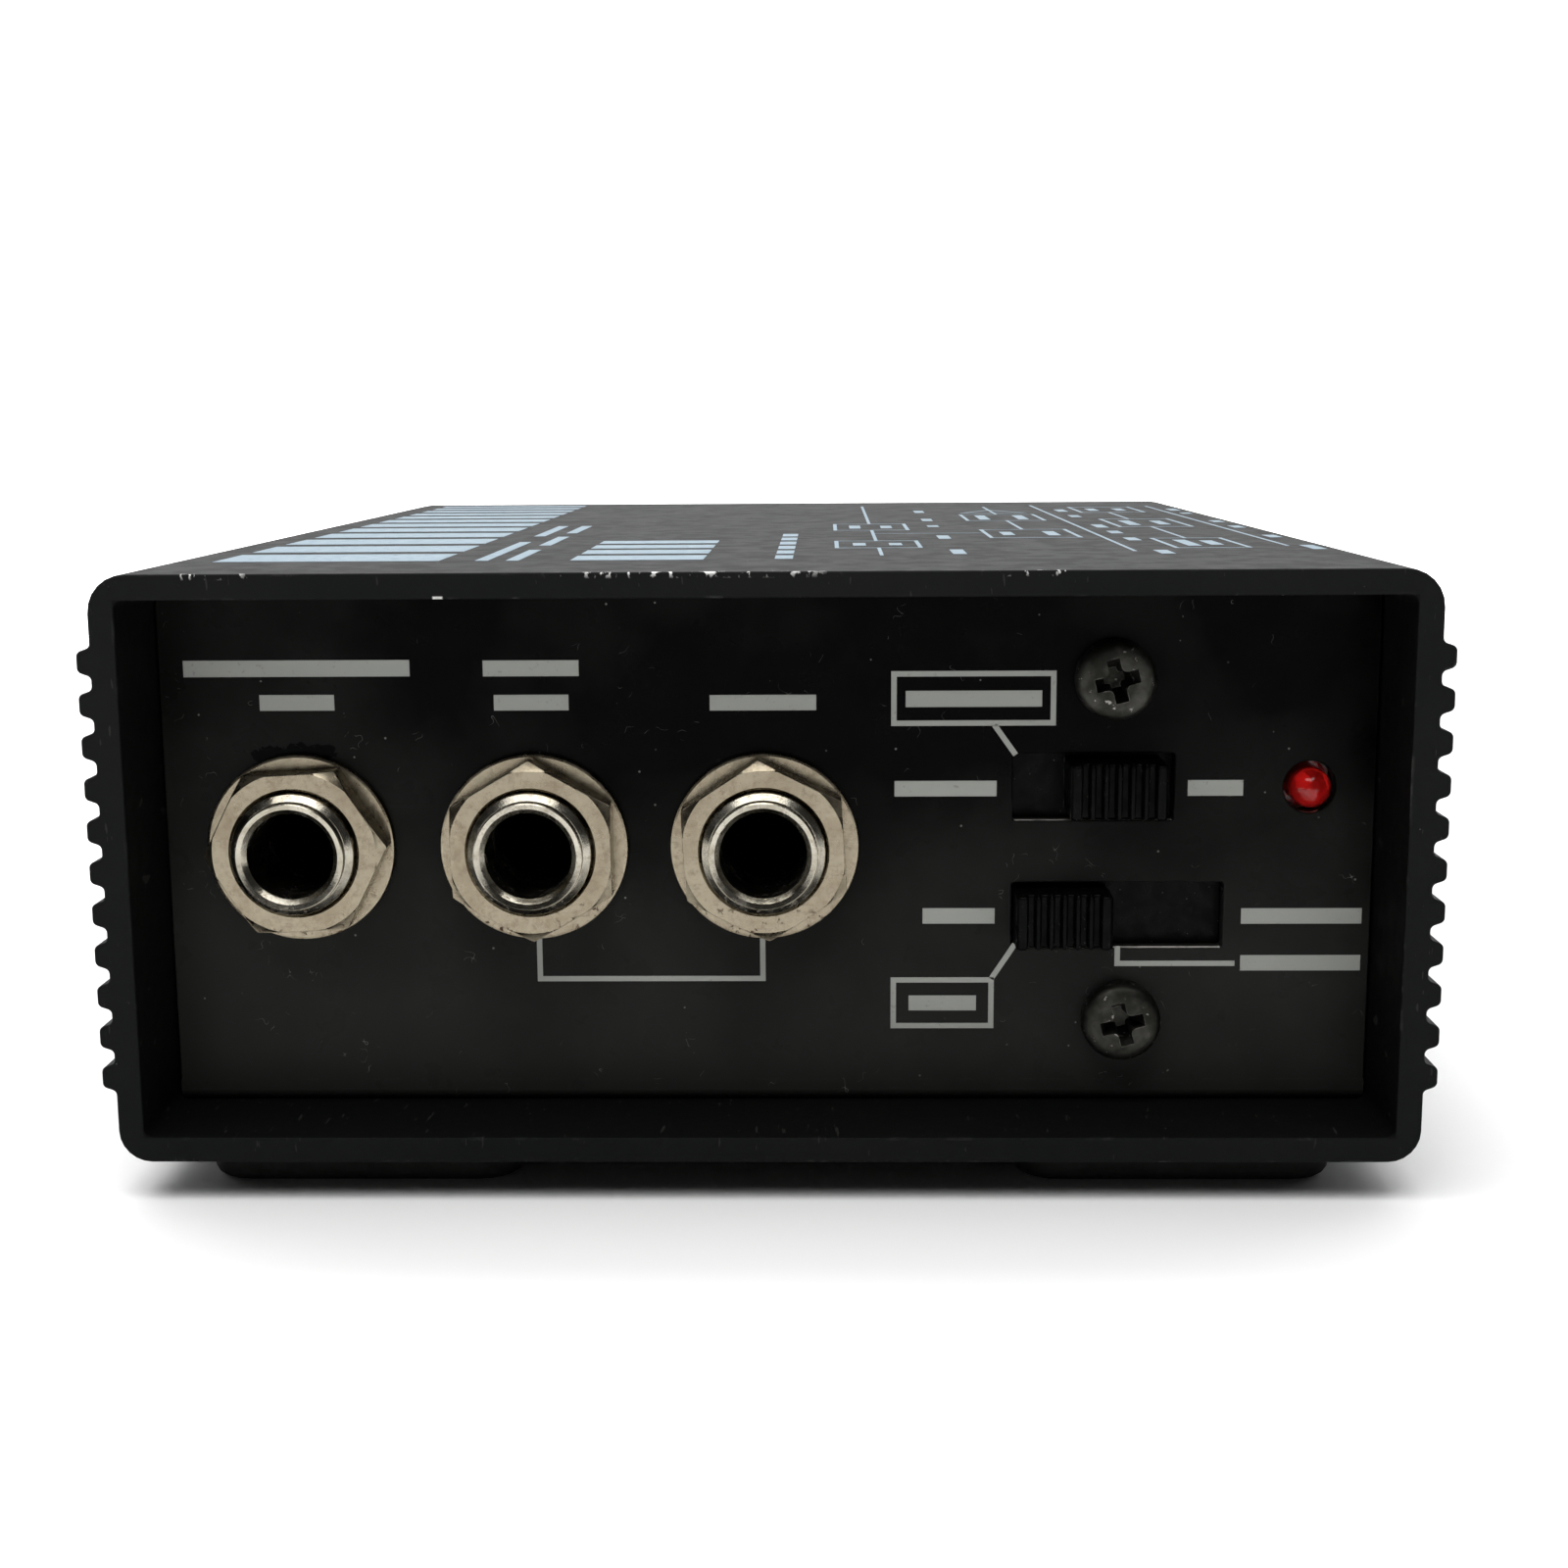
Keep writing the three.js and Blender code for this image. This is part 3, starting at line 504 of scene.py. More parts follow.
def nickel(name="nickel", dull=(0.238, 0.201, 0.143), clean=(0.352, 0.308, 0.226), shine=0.20):
    """Worn nickel plate: mottled and finely scratched, with rust freckles low down."""
    s = Shader(name, (0.62, 0.59, 0.54), 0.35, Metallic=1.0)
    z = s.axes()[2]
    haze = s.noise(0.45, 5, 0.6)
    mottle = s.noise(1.9, 5, 0.65, offset=(6, 0, 2))
    plate_color = s.mix(s.ramp(haze, 0.3, 0.7), dull, clean)
    plate_color = s.mix(s.ramp(mottle, 0.45, 0.70, 0.0, 0.55), plate_color, (0.170, 0.132, 0.090))
    marks = s.math("MAXIMUM", s.noise(2.0, 3, stretch=(0.35, 1, 3.0)),
                   s.noise(1.8, 3, stretch=(3.0, 1, 0.4), offset=(0, 0, 8)))
    worn = s.mix(s.ramp(marks, 0.62, 0.76, 0.0, 0.40), plate_color, (0.130, 0.108, 0.078))
    spots = s.ramp(s.noise(2.3, 4, 0.6, offset=(5, 0, 4)), 0.61, 0.66)
    patches = s.ramp(s.noise(0.30, 2, offset=(2, 0, 1)), 0.44, 0.56)
    rust = s.math("MULTIPLY", s.math("MULTIPLY", spots, patches), s.ramp(z, 23.0, 19.0))
    s.set("Base Color", s.mix(rust, worn, (0.090, 0.040, 0.016)))
    s.set("Metallic", s.math("SUBTRACT", 1.0, s.math("MULTIPLY", rust, 0.9)))
    s.set("Roughness", s.math("ADD", s.ramp(haze, 0.3, 0.7, shine, shine + 0.14),
                              s.math("MULTIPLY", rust, 0.35)))
    s.bump(marks, 0.005)
    s.bump(haze, 0.03)
    s.bump(mottle, 0.008)
    s.bump(rust, 0.03)
    return s.done()


def zinc(name="zinc"):
    s = Shader(name, (0.60, 0.61, 0.62), 0.35, Metallic=1.0)
    s.set("Base Color", s.mix(s.noise(0.5, 4), (0.45, 0.46, 0.46), (0.66, 0.67, 0.67)))
    s.set("Roughness", s.ramp(s.noise(2.0, 4), 0.3, 0.7, 0.28, 0.46))
    s.bump(s.noise(3.0, 4), 0.01)
    return s.done()


def moulded(name="black_plastic", base=(0.0012, 0.0013, 0.0012), shine=0.34, specular=0.06,
            edge_wear_and_highlight=0.090):
    """Moulded plastic, dusted by handling, its edges lighter from wear and from a painted
    highlight.
    """
    s = Shader(name, base, shine, Specular_IOR_Level=specular)
    dust = s.ramp(s.noise(1.4, 5, 0.6), 0.50, 0.75, 0.0, 0.25)
    dusted = s.mix(dust, base, tuple(c + 0.010 for c in base))
    # lighter edges: partly wear from handling, partly a painted highlight on the ridges
    polished_edge_highlight = s.math("MULTIPLY", s.edges(0.13, 0.04, 0.25), s.ramp(s.noise(0.9, 4), 0.36, 0.60))
    dusted = s.mix(polished_edge_highlight, dusted, tuple(c + edge_wear_and_highlight for c in base))
    specks = s.math("MULTIPLY", s.ramp(s.cells(2.2), 0.14, 0.08),
                    s.ramp(s.noise(0.9, 2), 0.54, 0.60))
    s.set("Base Color", s.mix(s.math("MULTIPLY", specks, 0.45), dusted,
                              tuple(c + 0.16 for c in base)))
    s.set("Roughness", s.ramp(s.noise(0.8, 4), 0.3, 0.7, shine - 0.08, shine + 0.12))
    s.bump(s.noise(6.0, 3), 0.006)
    return s.done()


def bronze(name="contact_bronze", low_color=(0.42, 0.24, 0.10), high_color=(0.70, 0.46, 0.24)):
    s = Shader(name, high_color, 0.32, Metallic=1.0)
    s.set("Base Color", s.mix(s.noise(0.7, 4), low_color, high_color))
    s.set("Roughness", s.ramp(s.noise(2.0, 4), 0.3, 0.7, 0.25, 0.42))
    s.bump(s.noise(2.5, 3, stretch=(1, 0.2, 1)), 0.008)
    return s.done()


def red_lens():
    """Tinted resin, slightly cloudy."""
    s = Shader("red_lens", (0.85, 0.010, 0.012), 0.06, Transmission_Weight=0.72, IOR=1.45,
               Specular_IOR_Level=0.22)
    s.set("Base Color", s.mix(s.noise(0.8, 2), (0.74, 0.007, 0.009), (0.86, 0.02, 0.015)))
    s.set("Roughness", s.ramp(s.noise(2.5, 3), 0.3, 0.7, 0.05, 0.14))
    s.bump(s.noise(1.6, 2), 0.06)
    return s.done()


def board_green():
    """Solder mask with lighter copper runs showing through."""
    s = Shader("circuit_board", (0.02, 0.09, 0.04), 0.35)
    runs = s.ramp(s.node("TexWave", Vector=s.place, Scale=0.35, Distortion=9.0,
                         Detail=1.0).outputs[1], 0.62, 0.66)
    s.set("Base Color", s.mix(runs, (0.014, 0.060, 0.026), (0.030, 0.115, 0.050)))
    s.set("Roughness", s.ramp(s.noise(1.0, 4), 0.3, 0.7, 0.28, 0.42))
    s.bump(runs, 0.02)
    return s.done()


def laminations():
    """Stacked core sheets, seen as fine lines across the stack."""
    s = Shader("laminations", (0.22, 0.22, 0.21), 0.5, Metallic=0.7)
    lines = s.node("TexWave", {"bands_direction": "Y"}, Vector=s.place, Scale=0.62).outputs[1]
    s.set("Base Color", s.mix(lines, (0.10, 0.10, 0.095), (0.30, 0.29, 0.27)))
    s.set("Roughness", s.ramp(s.noise(1.0, 4), 0.3, 0.7, 0.40, 0.62))
    s.bump(lines, 0.05)
    return s.done()


def winding_tape():
    s = Shader("winding_tape", (0.62, 0.42, 0.08), 0.5)
    wraps = s.node("TexWave", {"bands_direction": "Z"}, Vector=s.place, Scale=0.11).outputs[1]
    s.set("Base Color", s.mix(wraps, (0.55, 0.36, 0.06), (0.72, 0.52, 0.14)))
    s.set("Roughness", s.ramp(s.noise(0.8, 3), 0.3, 0.7, 0.42, 0.58))
    s.bump(wraps, 0.04)
    return s.done()


def capacitor_sleeve():
    s = Shader("capacitor_sleeve", (0.02, 0.04, 0.14), 0.3)
    s.set("Base Color", s.mix(s.noise(0.6, 4), (0.014, 0.028, 0.10), (0.03, 0.055, 0.17)))
    s.set("Roughness", s.ramp(s.noise(1.0, 4), 0.3, 0.7, 0.24, 0.40))
    s.bump(s.noise(0.8, 2), 0.02)
    return s.done()


def battery_can():
    """Printed steel jacket with one darker band at its terminal end."""
    s = Shader("battery_can", (0.05, 0.08, 0.10), 0.35, Metallic=0.4)
    band = s.ramp(s.axes()[1], -8.0, -7.6)
    cool = s.mix(s.noise(0.4, 3), (0.04, 0.06, 0.075), (0.07, 0.095, 0.115))
    s.set("Base Color", s.mix(band, (0.20, 0.085, 0.03), cool))
    s.set("Roughness", s.ramp(s.noise(1.2, 4), 0.3, 0.7, 0.28, 0.44))
    s.bump(s.noise(0.5, 3), 0.02)
    return s.done()


def ink(name, color, wear):
    """Screen-printed ink, thinned and nicked by wear."""
    s = Shader(name, color, 0.6, Specular_IOR_Level=0.15)
    thin = s.ramp(s.noise(1.8, 5, 0.65), wear, wear + 0.12, 0.0, 0.55)
    s.set("Base Color", s.mix(thin, color, tuple(c * 0.35 for c in color)))
    s.set("Roughness", s.ramp(s.noise(1.0, 3), 0.3, 0.7, 0.56, 0.7))
    s.bump(s.noise(4.0, 3), 0.004)
    return s.done()


SLOT_MATERIALS = {
    "sleeve_paint": sleeve_paint(),
    "panel_paint": panel_paint(),
    "rubber": rubber(),
    "black_screw": black_screw(),
    "nickel": nickel(),
    "zinc": zinc(),
    "black_plastic": moulded(),
    "contact_bronze": bronze(),
    "red_lens": red_lens(),
    "nylon": moulded("nylon", (0.66, 0.64, 0.58), 0.45, 0.5),
    "circuit_board": board_green(),
    "laminations": laminations(),
    "winding_tape": winding_tape(),
    "capacitor_sleeve": capacitor_sleeve(),
    "battery_can": battery_can(),
    "spring_steel": zinc("spring_steel"),
    "gold_pin": bronze("gold_pin", (0.62, 0.46, 0.18), (0.84, 0.68, 0.34)),
}
POLISHED_NICKEL = nickel("polished_nickel", (0.36, 0.335, 0.27), (0.55, 0.52, 0.44), 0.16)
WHITE_INK = ink("white_ink", (0.37, 0.38, 0.35), 0.62)
BLUE_INK = ink("blue_ink", (0.19, 0.255, 0.30), 0.56)


def dress_nodes():
    """Every CAD node gets its slot's material."""
    for entry in frame["record"]["subparts"]:
        node = frame["nodes"][entry["node"]]
        node.data.materials.clear()
        node.data.materials.append(SLOT_MATERIALS[entry["material_slot"]])


# ------------------------------------------------------------------ case

def sleeve_outline():
    half = high("case_sleeve").x - RIB_DEPTH
    side = [(half, BOTTOM, CORNER_BOTTOM)]
    for i in range(RIBS):
        z = BOTTOM + RIB_FIRST + i * RIB_PITCH
        side += [(half, z - RIB_BASE / 2, RIB_VALLEY_EASE),
                 (half + RIB_DEPTH, z - RIB_TIP / 2, RIB_TIP_EASE),
                 (half + RIB_DEPTH, z + RIB_TIP / 2, RIB_TIP_EASE),
                 (half, z + RIB_BASE / 2, RIB_VALLEY_EASE)]
    side.append((half, SLEEVE_TOP, CORNER_TOP))
    other = [(-x, z, r) for x, z, r in reversed(side)]
    return rounded(side + other, 6)


def add_sleeve():
    half = high("case_sleeve").x - RIB_DEPTH - WALL
    bore = rectangle(-half, half, BOTTOM + WALL, TOP - WALL, 0.7)
    mesh = plate([sleeve_outline(), bore], -2 * RIM, 0.14, 3)
    moved(mesh, FRONTWARD, (0, -RIM, 0))
    piece("sleeve", mesh, SLOT_MATERIALS["sleeve_paint"], ["case_sleeve"],
          flat=100)


def add_feet():
    for corner in CORNERS:
        lo, hi = low("foot_" + corner), high("foot_" + corner)
        centre = (lo + hi) / 2
        half = (hi.x - lo.x) / 2
        loops = []
        for k in range(7):
            a = math.pi / 2 * k / 6
            inset = FOOT_EASE * (1 - math.sin(a))
            z = FOOT_EASE * (1 - math.cos(a))
            size = half - inset
            outline = rectangle(-size, size, -size, size, FOOT_CORNER - inset / 2)
            loops.append([(x, y, z) for x, y in outline])
        loops.append([(x, y, hi.z) for x, y in rectangle(-half, half, -half, half, FOOT_CORNER)])
        bore = turned([(0, -1), (3.3, -1), (3.3, 2.0), (1.7, 2.0), (1.7, 5), (0, 5)], 48)
        mesh = moved(carved(loft(loops), bore), (centre.x, centre.y, 0))
        piece("foot_pad_" + corner, mesh, SLOT_MATERIALS["rubber"], ["foot_" + corner])
        screw = moved(pan_screw(*SMALL_SCREW), DOWNWARD, (centre.x, centre.y, 2))
        piece("foot_bolt_" + corner, screw, SLOT_MATERIALS["zinc"],
              ["foot_screw_" + corner])


def cross_outline(reach, slim, ease):
    """Four arms, square at their tips and eased where they meet."""
    corners = []
    for k in range(4):
        turn = Matrix.Rotation(math.pi / 2 * k, 2)
        for x, y, r in ((reach, -slim, 0.06), (reach, slim, 0.06), (slim, slim, ease)):
            spot = turn @ Vector((x, y))
            corners.append((spot.x, spot.y, r))
    return rounded(corners, 4)


def pan_screw(r, h, length, turn=0.0):
    """Pan head from z = 0 to h with a cross recess; the shank runs down to -length."""
    crown = [(0, h), (r * 0.50, h * 0.99), (r * 0.74, h * 0.955), (r * 0.87, h * 0.89),
             (r * 0.95, h * 0.77), (r * 0.99, h * 0.62), (r, h * 0.45), (r, h * 0.08),
             (r * 0.98, 0)]
    shank = [(1.5, 0), (1.5, -length + 0.4), (1.1, -length), (0, -length)]
    body = turned(crown + shank, 64)
    mouth = cross_outline(r * 0.58, r * 0.17, r * 0.15)
    foot = cross_outline(r * 0.26, r * 0.12, r * 0.05)
    recess = loft([[(x, y, -h * 0.25) for x, y in foot], [(x, y, h + 0.2) for x, y in mouth]])
    return moved(carved(body, recess), Matrix.Rotation(turn, 4, "Z"))


# ------------------------------------------------------------------ panels

def folded_panel(holes, half):
    """Panel standing on its folded foot, face at local z = 0, height along local y."""
    thick, bend, fillet, reach, ease = 1.5, 0.8, 0.2, 13.5, 0.12
    floor, top = low("front_panel").z, high("front_panel").z
    seam = floor + thick + fillet
    body = plate([rounded([(-half, seam - ease, 0), (half, seam - ease, 0), (half, top, 0.9),
                           (-half, top, 0.9)]), *holes], thick, ease, 2)
    moved(body, (0, 0, -thick))
    quarter = [math.pi / 2 * k / 6 for k in range(7)]
    section = [(seam, 0)]
    section += [(seam - fillet * math.sin(a), -thick - fillet * (1 - math.cos(a)))
                for a in quarter]
    section += [(floor + thick, -reach), (floor, -reach)]
    section += [(floor + bend * (1 - math.cos(a)), -bend * (1 - math.sin(a))) for a in quarter]
    loops = [[(x, y, z) for y, z in section] for x in (-half, half)]
    return joined(body, loft(loops))


JACK_HOLE = 5.0         # radii
SCREW_HOLE = 1.7
LAMP_HOLE = 2.0
CONNECTOR_HOLE = 10.4
WINDOW_TALL = 5.2
POWER_WINDOW = (18.8, 31.1)
ATTENUATOR_WINDOW = (18.8, 35.1)
GROUND_WINDOW = (15.9, 28.2)


def switch_window(slider, span):
    z = middle(slider).z
    return rectangle(span[0], span[1], z - WINDOW_TALL / 2, z + WINDOW_TALL / 2, 0.22)


def add_panels():
    half = high("front_panel").x
    holes = [circle(middle(j + "_jack_bushing").x, middle(j + "_jack_bushing").z, JACK_HOLE)
             for j in JACKS]
    holes += [circle(middle(screw).x, middle(screw).z, SCREW_HOLE)
              for screw in ("panel_screw_upper", "panel_screw_lower")]
    holes.append(circle(middle("power_lamp").x, middle("power_lamp").z, LAMP_HOLE))
    holes.append(switch_window("power_switch_slider", POWER_WINDOW))
    holes.append(switch_window("attenuator_switch_slider", ATTENUATOR_WINDOW))
    front = moved(folded_panel(holes, half), FRONTWARD, (0, FACE, 0))
    piece("panel_front", front, SLOT_MATERIALS["panel_paint"], ["front_panel"],
          flat=100)

    shell = middle("output_connector_shell")
    holes = [circle(-shell.x, shell.z, CONNECTOR_HOLE)]
    span = (-GROUND_WINDOW[1], -GROUND_WINDOW[0])
    holes.append(switch_window("ground_lift_switch_slider", span))
    rear = moved(folded_panel(holes, half), REARWARD, (0, REAR_FACE, 0))
    piece("panel_rear", rear, SLOT_MATERIALS["panel_paint"], ["rear_panel"],
          flat=100)


# ------------------------------------------------------------------ jacks

def bushing_mesh():
    """Threaded bushing with an eased nose ring, a groove and a coned shoulder."""
    bore, nose, outer = 3.30, 4.14, 4.68
    mouth = [(bore, -3.5), (bore, 4.10), (bore + 0.04, 4.15), (3.66, 4.49)]
    crest = [(3.95, 4.585), (nose - 0.12, 4.60), (nose - 0.04, 4.55), (nose, 4.44)]
    groove = [(nose, 4.06), (nose - 0.09, 4.03), (nose - 0.09, 3.96)]
    shoulder = [(nose + 0.04, 3.94), (outer - 0.04, 3.57), (outer - 0.01, 3.50), (outer, 3.4),
                (outer, 2.9), (4.48, 2.75)]
    thread = []
    for k in range(7):
        z = 2.5 - k * 0.79
        thread += [(outer + 0.08, z), (outer + 0.08, z - 0.14), (4.46, z - 0.40),
                   (4.46, z - 0.52)]
    back = [(r, z) for r, z in thread if z > -3.3] + [(4.6, -3.5)]
    return turned(mouth + crest + groove + shoulder + back, 144, closed=True)


def nut_mesh(flats=12.2, thick=2.2, hole=4.82, turn=0.0):
    """Hexagon nut with the tips of its corners turned off in front."""
    flat = flats / 2
    face = flat * 1.025
    slope = math.tan(math.radians(30))

    def across(a):
        r = flat / math.cos((a + math.pi / 6) % (math.pi / 3) - math.pi / 6)
        return min(r, flat / math.cos(math.pi / 6) - 0.03)

    def ring(trim, drop):
        return lambda a: (across(a) - trim, thick - drop - max(0.0, across(a) - face) * slope)

    rings = [
        (hole, 0), (hole, thick - 0.16), (hole + 0.16, thick), (flat - 0.5, thick),
        lambda a: (min(across(a) - 0.10, face), thick),
        ring(0.07, 0.004), ring(0.02, 0.02), ring(0, 0.06),
        lambda a: (across(a), 0.08), lambda a: (across(a) - 0.08, 0),
    ]
    return moved(turned(rings, 240, closed=True), Matrix.Rotation(turn, 4, "Z"))


def washer_mesh():
    r, thick = 7.25, 0.8
    return turned([(4.95, 0), (4.95, 0.72), (5.02, thick), (r - 0.22, thick), (r - 0.07, 0.76),
                   (r, 0.64), (r, 0.12), (r - 0.08, 0)], 144, closed=True)


NUT_TURNS = {"unbalanced_out": 33, "parallel_out": 0.5, "input": 3.3}


def add_jacks():
    hardware = SLOT_MATERIALS["nickel"]
    for jack in JACKS:
        spot = middle(jack + "_jack_bushing")
        at = (spot.x, FACE, spot.z)
        washer_high = FACE - low(jack + "_jack_washer").y
        turn = math.radians(NUT_TURNS[jack])
        bushing = moved(bushing_mesh(), FRONTWARD, at)
        nut = moved(nut_mesh(turn=turn), (0, 0, washer_high), FRONTWARD, at)
        washer = moved(washer_mesh(), FRONTWARD, at)
        piece(jack + "_bushing", bushing, POLISHED_NICKEL, [jack + "_jack_bushing"],
              angle=13)
        piece(jack + "_nut", nut, hardware, [jack + "_jack_nut"], angle=24)
        piece(jack + "_washer", washer, hardware, [jack + "_jack_washer"])


# ------------------------------------------------------------------ switches, lamp, screws

def knob_mesh(slider):
    """Ridged knob on its sliding base, in place; the front is towards -Y."""
    lo, hi = low(slider), high(slider)
    x, z = (lo.x + hi.x) / 2, (lo.z + hi.z) / 2
    half, tall = 3.68, 2.1
    front, seat, groove = 0.0, 4.8, 0.95
    corners = [(half, seat, 0), (half, front + 0.3, 0), (half - 0.25, front, 0.22)]
    for i in range(6):
        centre = 2.5 - i
        corners += [(centre + 0.34, front, 0.15), (centre + 0.26, front + groove, 0.12)]
        corners += [(centre - 0.26, front + groove, 0.12), (centre - 0.34, front, 0.15)]
    corners += [(0.25 - half, front, 0.22), (-half, front + 0.3, 0), (-half, seat, 0)]
    knob = plate([rounded(corners, 4)], 2 * tall, 0.22, 3)
    moved(knob, (0, 0, -tall))
    reach = (hi.x - lo.x) / 2
    base = block(-reach, reach, seat, hi.y - lo.y, -3.3, 3.3, 0.1)
    return knob, base, Vector((x, lo.y, z))


def add_sliders():
    plastic = SLOT_MATERIALS["black_plastic"]
    for switch in ("power_switch", "attenuator_switch", "ground_lift_switch"):
        slider = switch + "_slider"
        knob, base, at = knob_mesh(slider)
        mesh = joined(knob, base)
        if switch == "ground_lift_switch":
            at.y = high(slider).y
            moved(mesh, Matrix.Rotation(math.pi, 4, "Z"))
        moved(mesh, at)
        piece(switch + "_knob", mesh, plastic, [slider], slider + "_body")


def add_lamp():
    """Domed lens with the bright cup and post that sit inside it, measured from the panel."""
    spot = middle("power_lamp")
    at = (spot.x, FACE, spot.z)
    r = 1.55
    arc = [math.pi / 2 * k / 16 for k in range(1, 17)]
    dome = [(0, 0.15 + r)] + [(r * math.sin(a), 0.15 + r * math.cos(a)) for a in arc]
    body = [(r, -2.7), (1.9, -2.7), (1.9, -3.7), (0, -3.7)]
    lens = moved(turned(dome + body, 96), FRONTWARD, at)
    piece("lamp_lens", lens, SLOT_MATERIALS["red_lens"], ["power_lamp"])
    cup = [(0, -0.95), (0.30, -0.95), (0.78, -0.35), (0.88, -0.35), (0.88, -0.9), (0.45, -1.3),
           (0.45, -3.4), (0, -3.4)]
    piece("lamp_cup", moved(turned(cup, 48), FRONTWARD, at), SLOT_MATERIALS["zinc"])


SCREW_TURN = 14


def add_screws():
    for name in ("upper", "lower"):
        spot = middle("panel_screw_" + name)
        turn = math.radians(SCREW_TURN)
        screw = moved(pan_screw(*PANEL_SCREW, turn), FRONTWARD, (spot.x, FACE, spot.z))
        piece("front_screw_" + name, screw, SLOT_MATERIALS["black_screw"],
              ["panel_screw_" + name])
    for number in (1, 2):
        node = f"output_connector_screw_{number}"
        spot = middle(node)
        at = (spot.x, high("output_connector_shell").y - 3, spot.z)
        screw = moved(pan_screw(*SMALL_SCREW, 0.4 * number), REARWARD, at)
        piece(f"connector_screw_{number}", screw, SLOT_MATERIALS["black_screw"],
              [node])


# ------------------------------------------------------------------ rear connector

def add_output():
    spot = middle("output_connector_shell")
    at = (spot.x, REAR_FACE, spot.z)
    flange = plate([rectangle(-13, 13, -15.5, 15.5, 2.2), circle(0, 0, 9.9, 96)], 2.0, 0.35, 3)
    cup = turned([(8.1, -18), (8.1, 4.5), (8.25, 4.8), (8.6, 5), (9.4, 5), (9.8, 4.85), (10, 4.4),
                  (10, -18)], 128, closed=True)
    shell = moved(joined(flange, cup), REARWARD, at)
    piece("connector_shell", shell, POLISHED_NICKEL, ["output_connector_shell"])
    insert = turned([(0, -18), (7.98, -18), (7.98, -9.2), (7.8, -9), (0, -9)], 96)
    piece("connector_insert", moved(insert, REARWARD, at), SLOT_MATERIALS["black_plastic"],
          ["output_connector_insert"])
    for number in (1, 2, 3):
        node = f"output_connector_pin_{number}"
        place = middle(node)
        nose = [(1.19 * math.sin(a), 1.85 + 1.15 * math.cos(a))
                for a in [math.pi / 2 * k / 8 for k in range(9)]]
        nose[0] = (0, 3.0)
        tail = [(1.19, -18), (0.84, -18), (0.84, -21), (0, -21)]
        pin = moved(turned(nose + tail, 48), REARWARD, (place.x, REAR_FACE, place.z))
        piece(f"connector_pin_{number}", pin, SLOT_MATERIALS["gold_pin"], [node])


# ------------------------------------------------------------------ printing

def ribbon(points, width):
    """Quads along a line, with mitred corners; a line that ends where it starts is closed."""
    closed = False
    points = [Vector(p) for p in points]
    points = points[:1] + [b for a, b in zip(points, points[1:]) if (b - a).length > 1e-6]
    if (points[0] - points[-1]).length < 1e-6:
        points, closed = points[:-1], True
    sides = []
    for i, p in enumerate(points):
        before = points[i - 1] if i or closed else None
        after = points[(i + 1) % len(points)] if i + 1 < len(points) or closed else None
        a = (p - before).normalized() if before is not None else (after - p).normalized()
        b = (after - p).normalized() if after is not None else a
        across = Vector((-(a + b).y, (a + b).x)).normalized()
        reach = width / 2 / max(0.35, across.dot(Vector((-a.y, a.x))))
        sides.append((p + across * reach, p - across * reach))
    pairs = list(zip(sides, sides[1:]))
    if closed:
        pairs.append((sides[-1], sides[0]))
    return [(a[0], a[1], b[1], b[0]) for a, b in pairs]


def inside(spot, shape):
    """Whether a point lies in a convex outline."""
    sides = [(b[0] - a[0]) * (spot.y - a[1]) - (b[1] - a[1]) * (spot.x - a[0])
             for a, b in zip(shape, [*shape[1:], shape[0]])]
    return min(sides) >= 0 or max(sides) <= 0


def united(shapes):
    """Triangles that cover overlapping convex shapes exactly once."""
    points, faces = [], []
    for shape in shapes:
        twice = sum(a[0] * b[1] - b[0] * a[1] for a, b in zip(shape, [*shape[1:], shape[0]]))
        first = len(points)
        loop = [Vector((p[0], p[1])) for p in shape]
        points += loop if twice > 0 else loop[::-1]
        faces.append(list(range(first, len(points))))
    merged = geometry.delaunay_2d_cdt(points, [], faces, 1, 1e-4)
    points = merged[0]
    centres = [sum((points[i] for i in face), Vector((0, 0))) / len(face) for face in merged[2]]
    faces = [face for face, spot in zip(merged[2], centres)
             if any(inside(spot, shape) for shape in shapes)]
    return points, faces


def printed(groups):
    """Thin layer of ink from groups of flat shapes, standing just proud of z = 0."""
    bm = bmesh.new()
    for shapes in groups:
        points, faces = united(shapes)
        verts = [bm.verts.new((p.x, p.y, -INK_SUNK)) for p in points]
        for face in faces:
            bm.faces.new([verts[i] for i in face])
    bmesh.ops.delete(bm, geom=[v for v in bm.verts if not v.link_faces], context="VERTS")
    bmesh.ops.recalc_face_normals(bm, faces=bm.faces)
    grown = bmesh.ops.extrude_face_region(bm, geom=bm.faces[:], use_keep_orig=True)
    lifted = [v for v in grown["geom"] if isinstance(v, bmesh.types.BMVert)]
    bmesh.ops.translate(bm, verts=lifted, vec=(0, 0, INK_THICK + INK_SUNK))
    bmesh.ops.recalc_face_normals(bm, faces=bm.faces)
    mesh = bpy.data.meshes.new("printed")
    bm.to_mesh(mesh)
    bm.free()
    return mesh


LINE = 0.42
LABEL_FOOT, LABEL_HEAD = 0.22, 0.78    # of the label's height


def label_bar(x0, x1, z, tall):
    """One plain bar where a label belongs. No lettering is drawn anywhere on the object."""
    return [box_shape(x0, x1, z + LABEL_FOOT * tall, z + LABEL_HEAD * tall)]


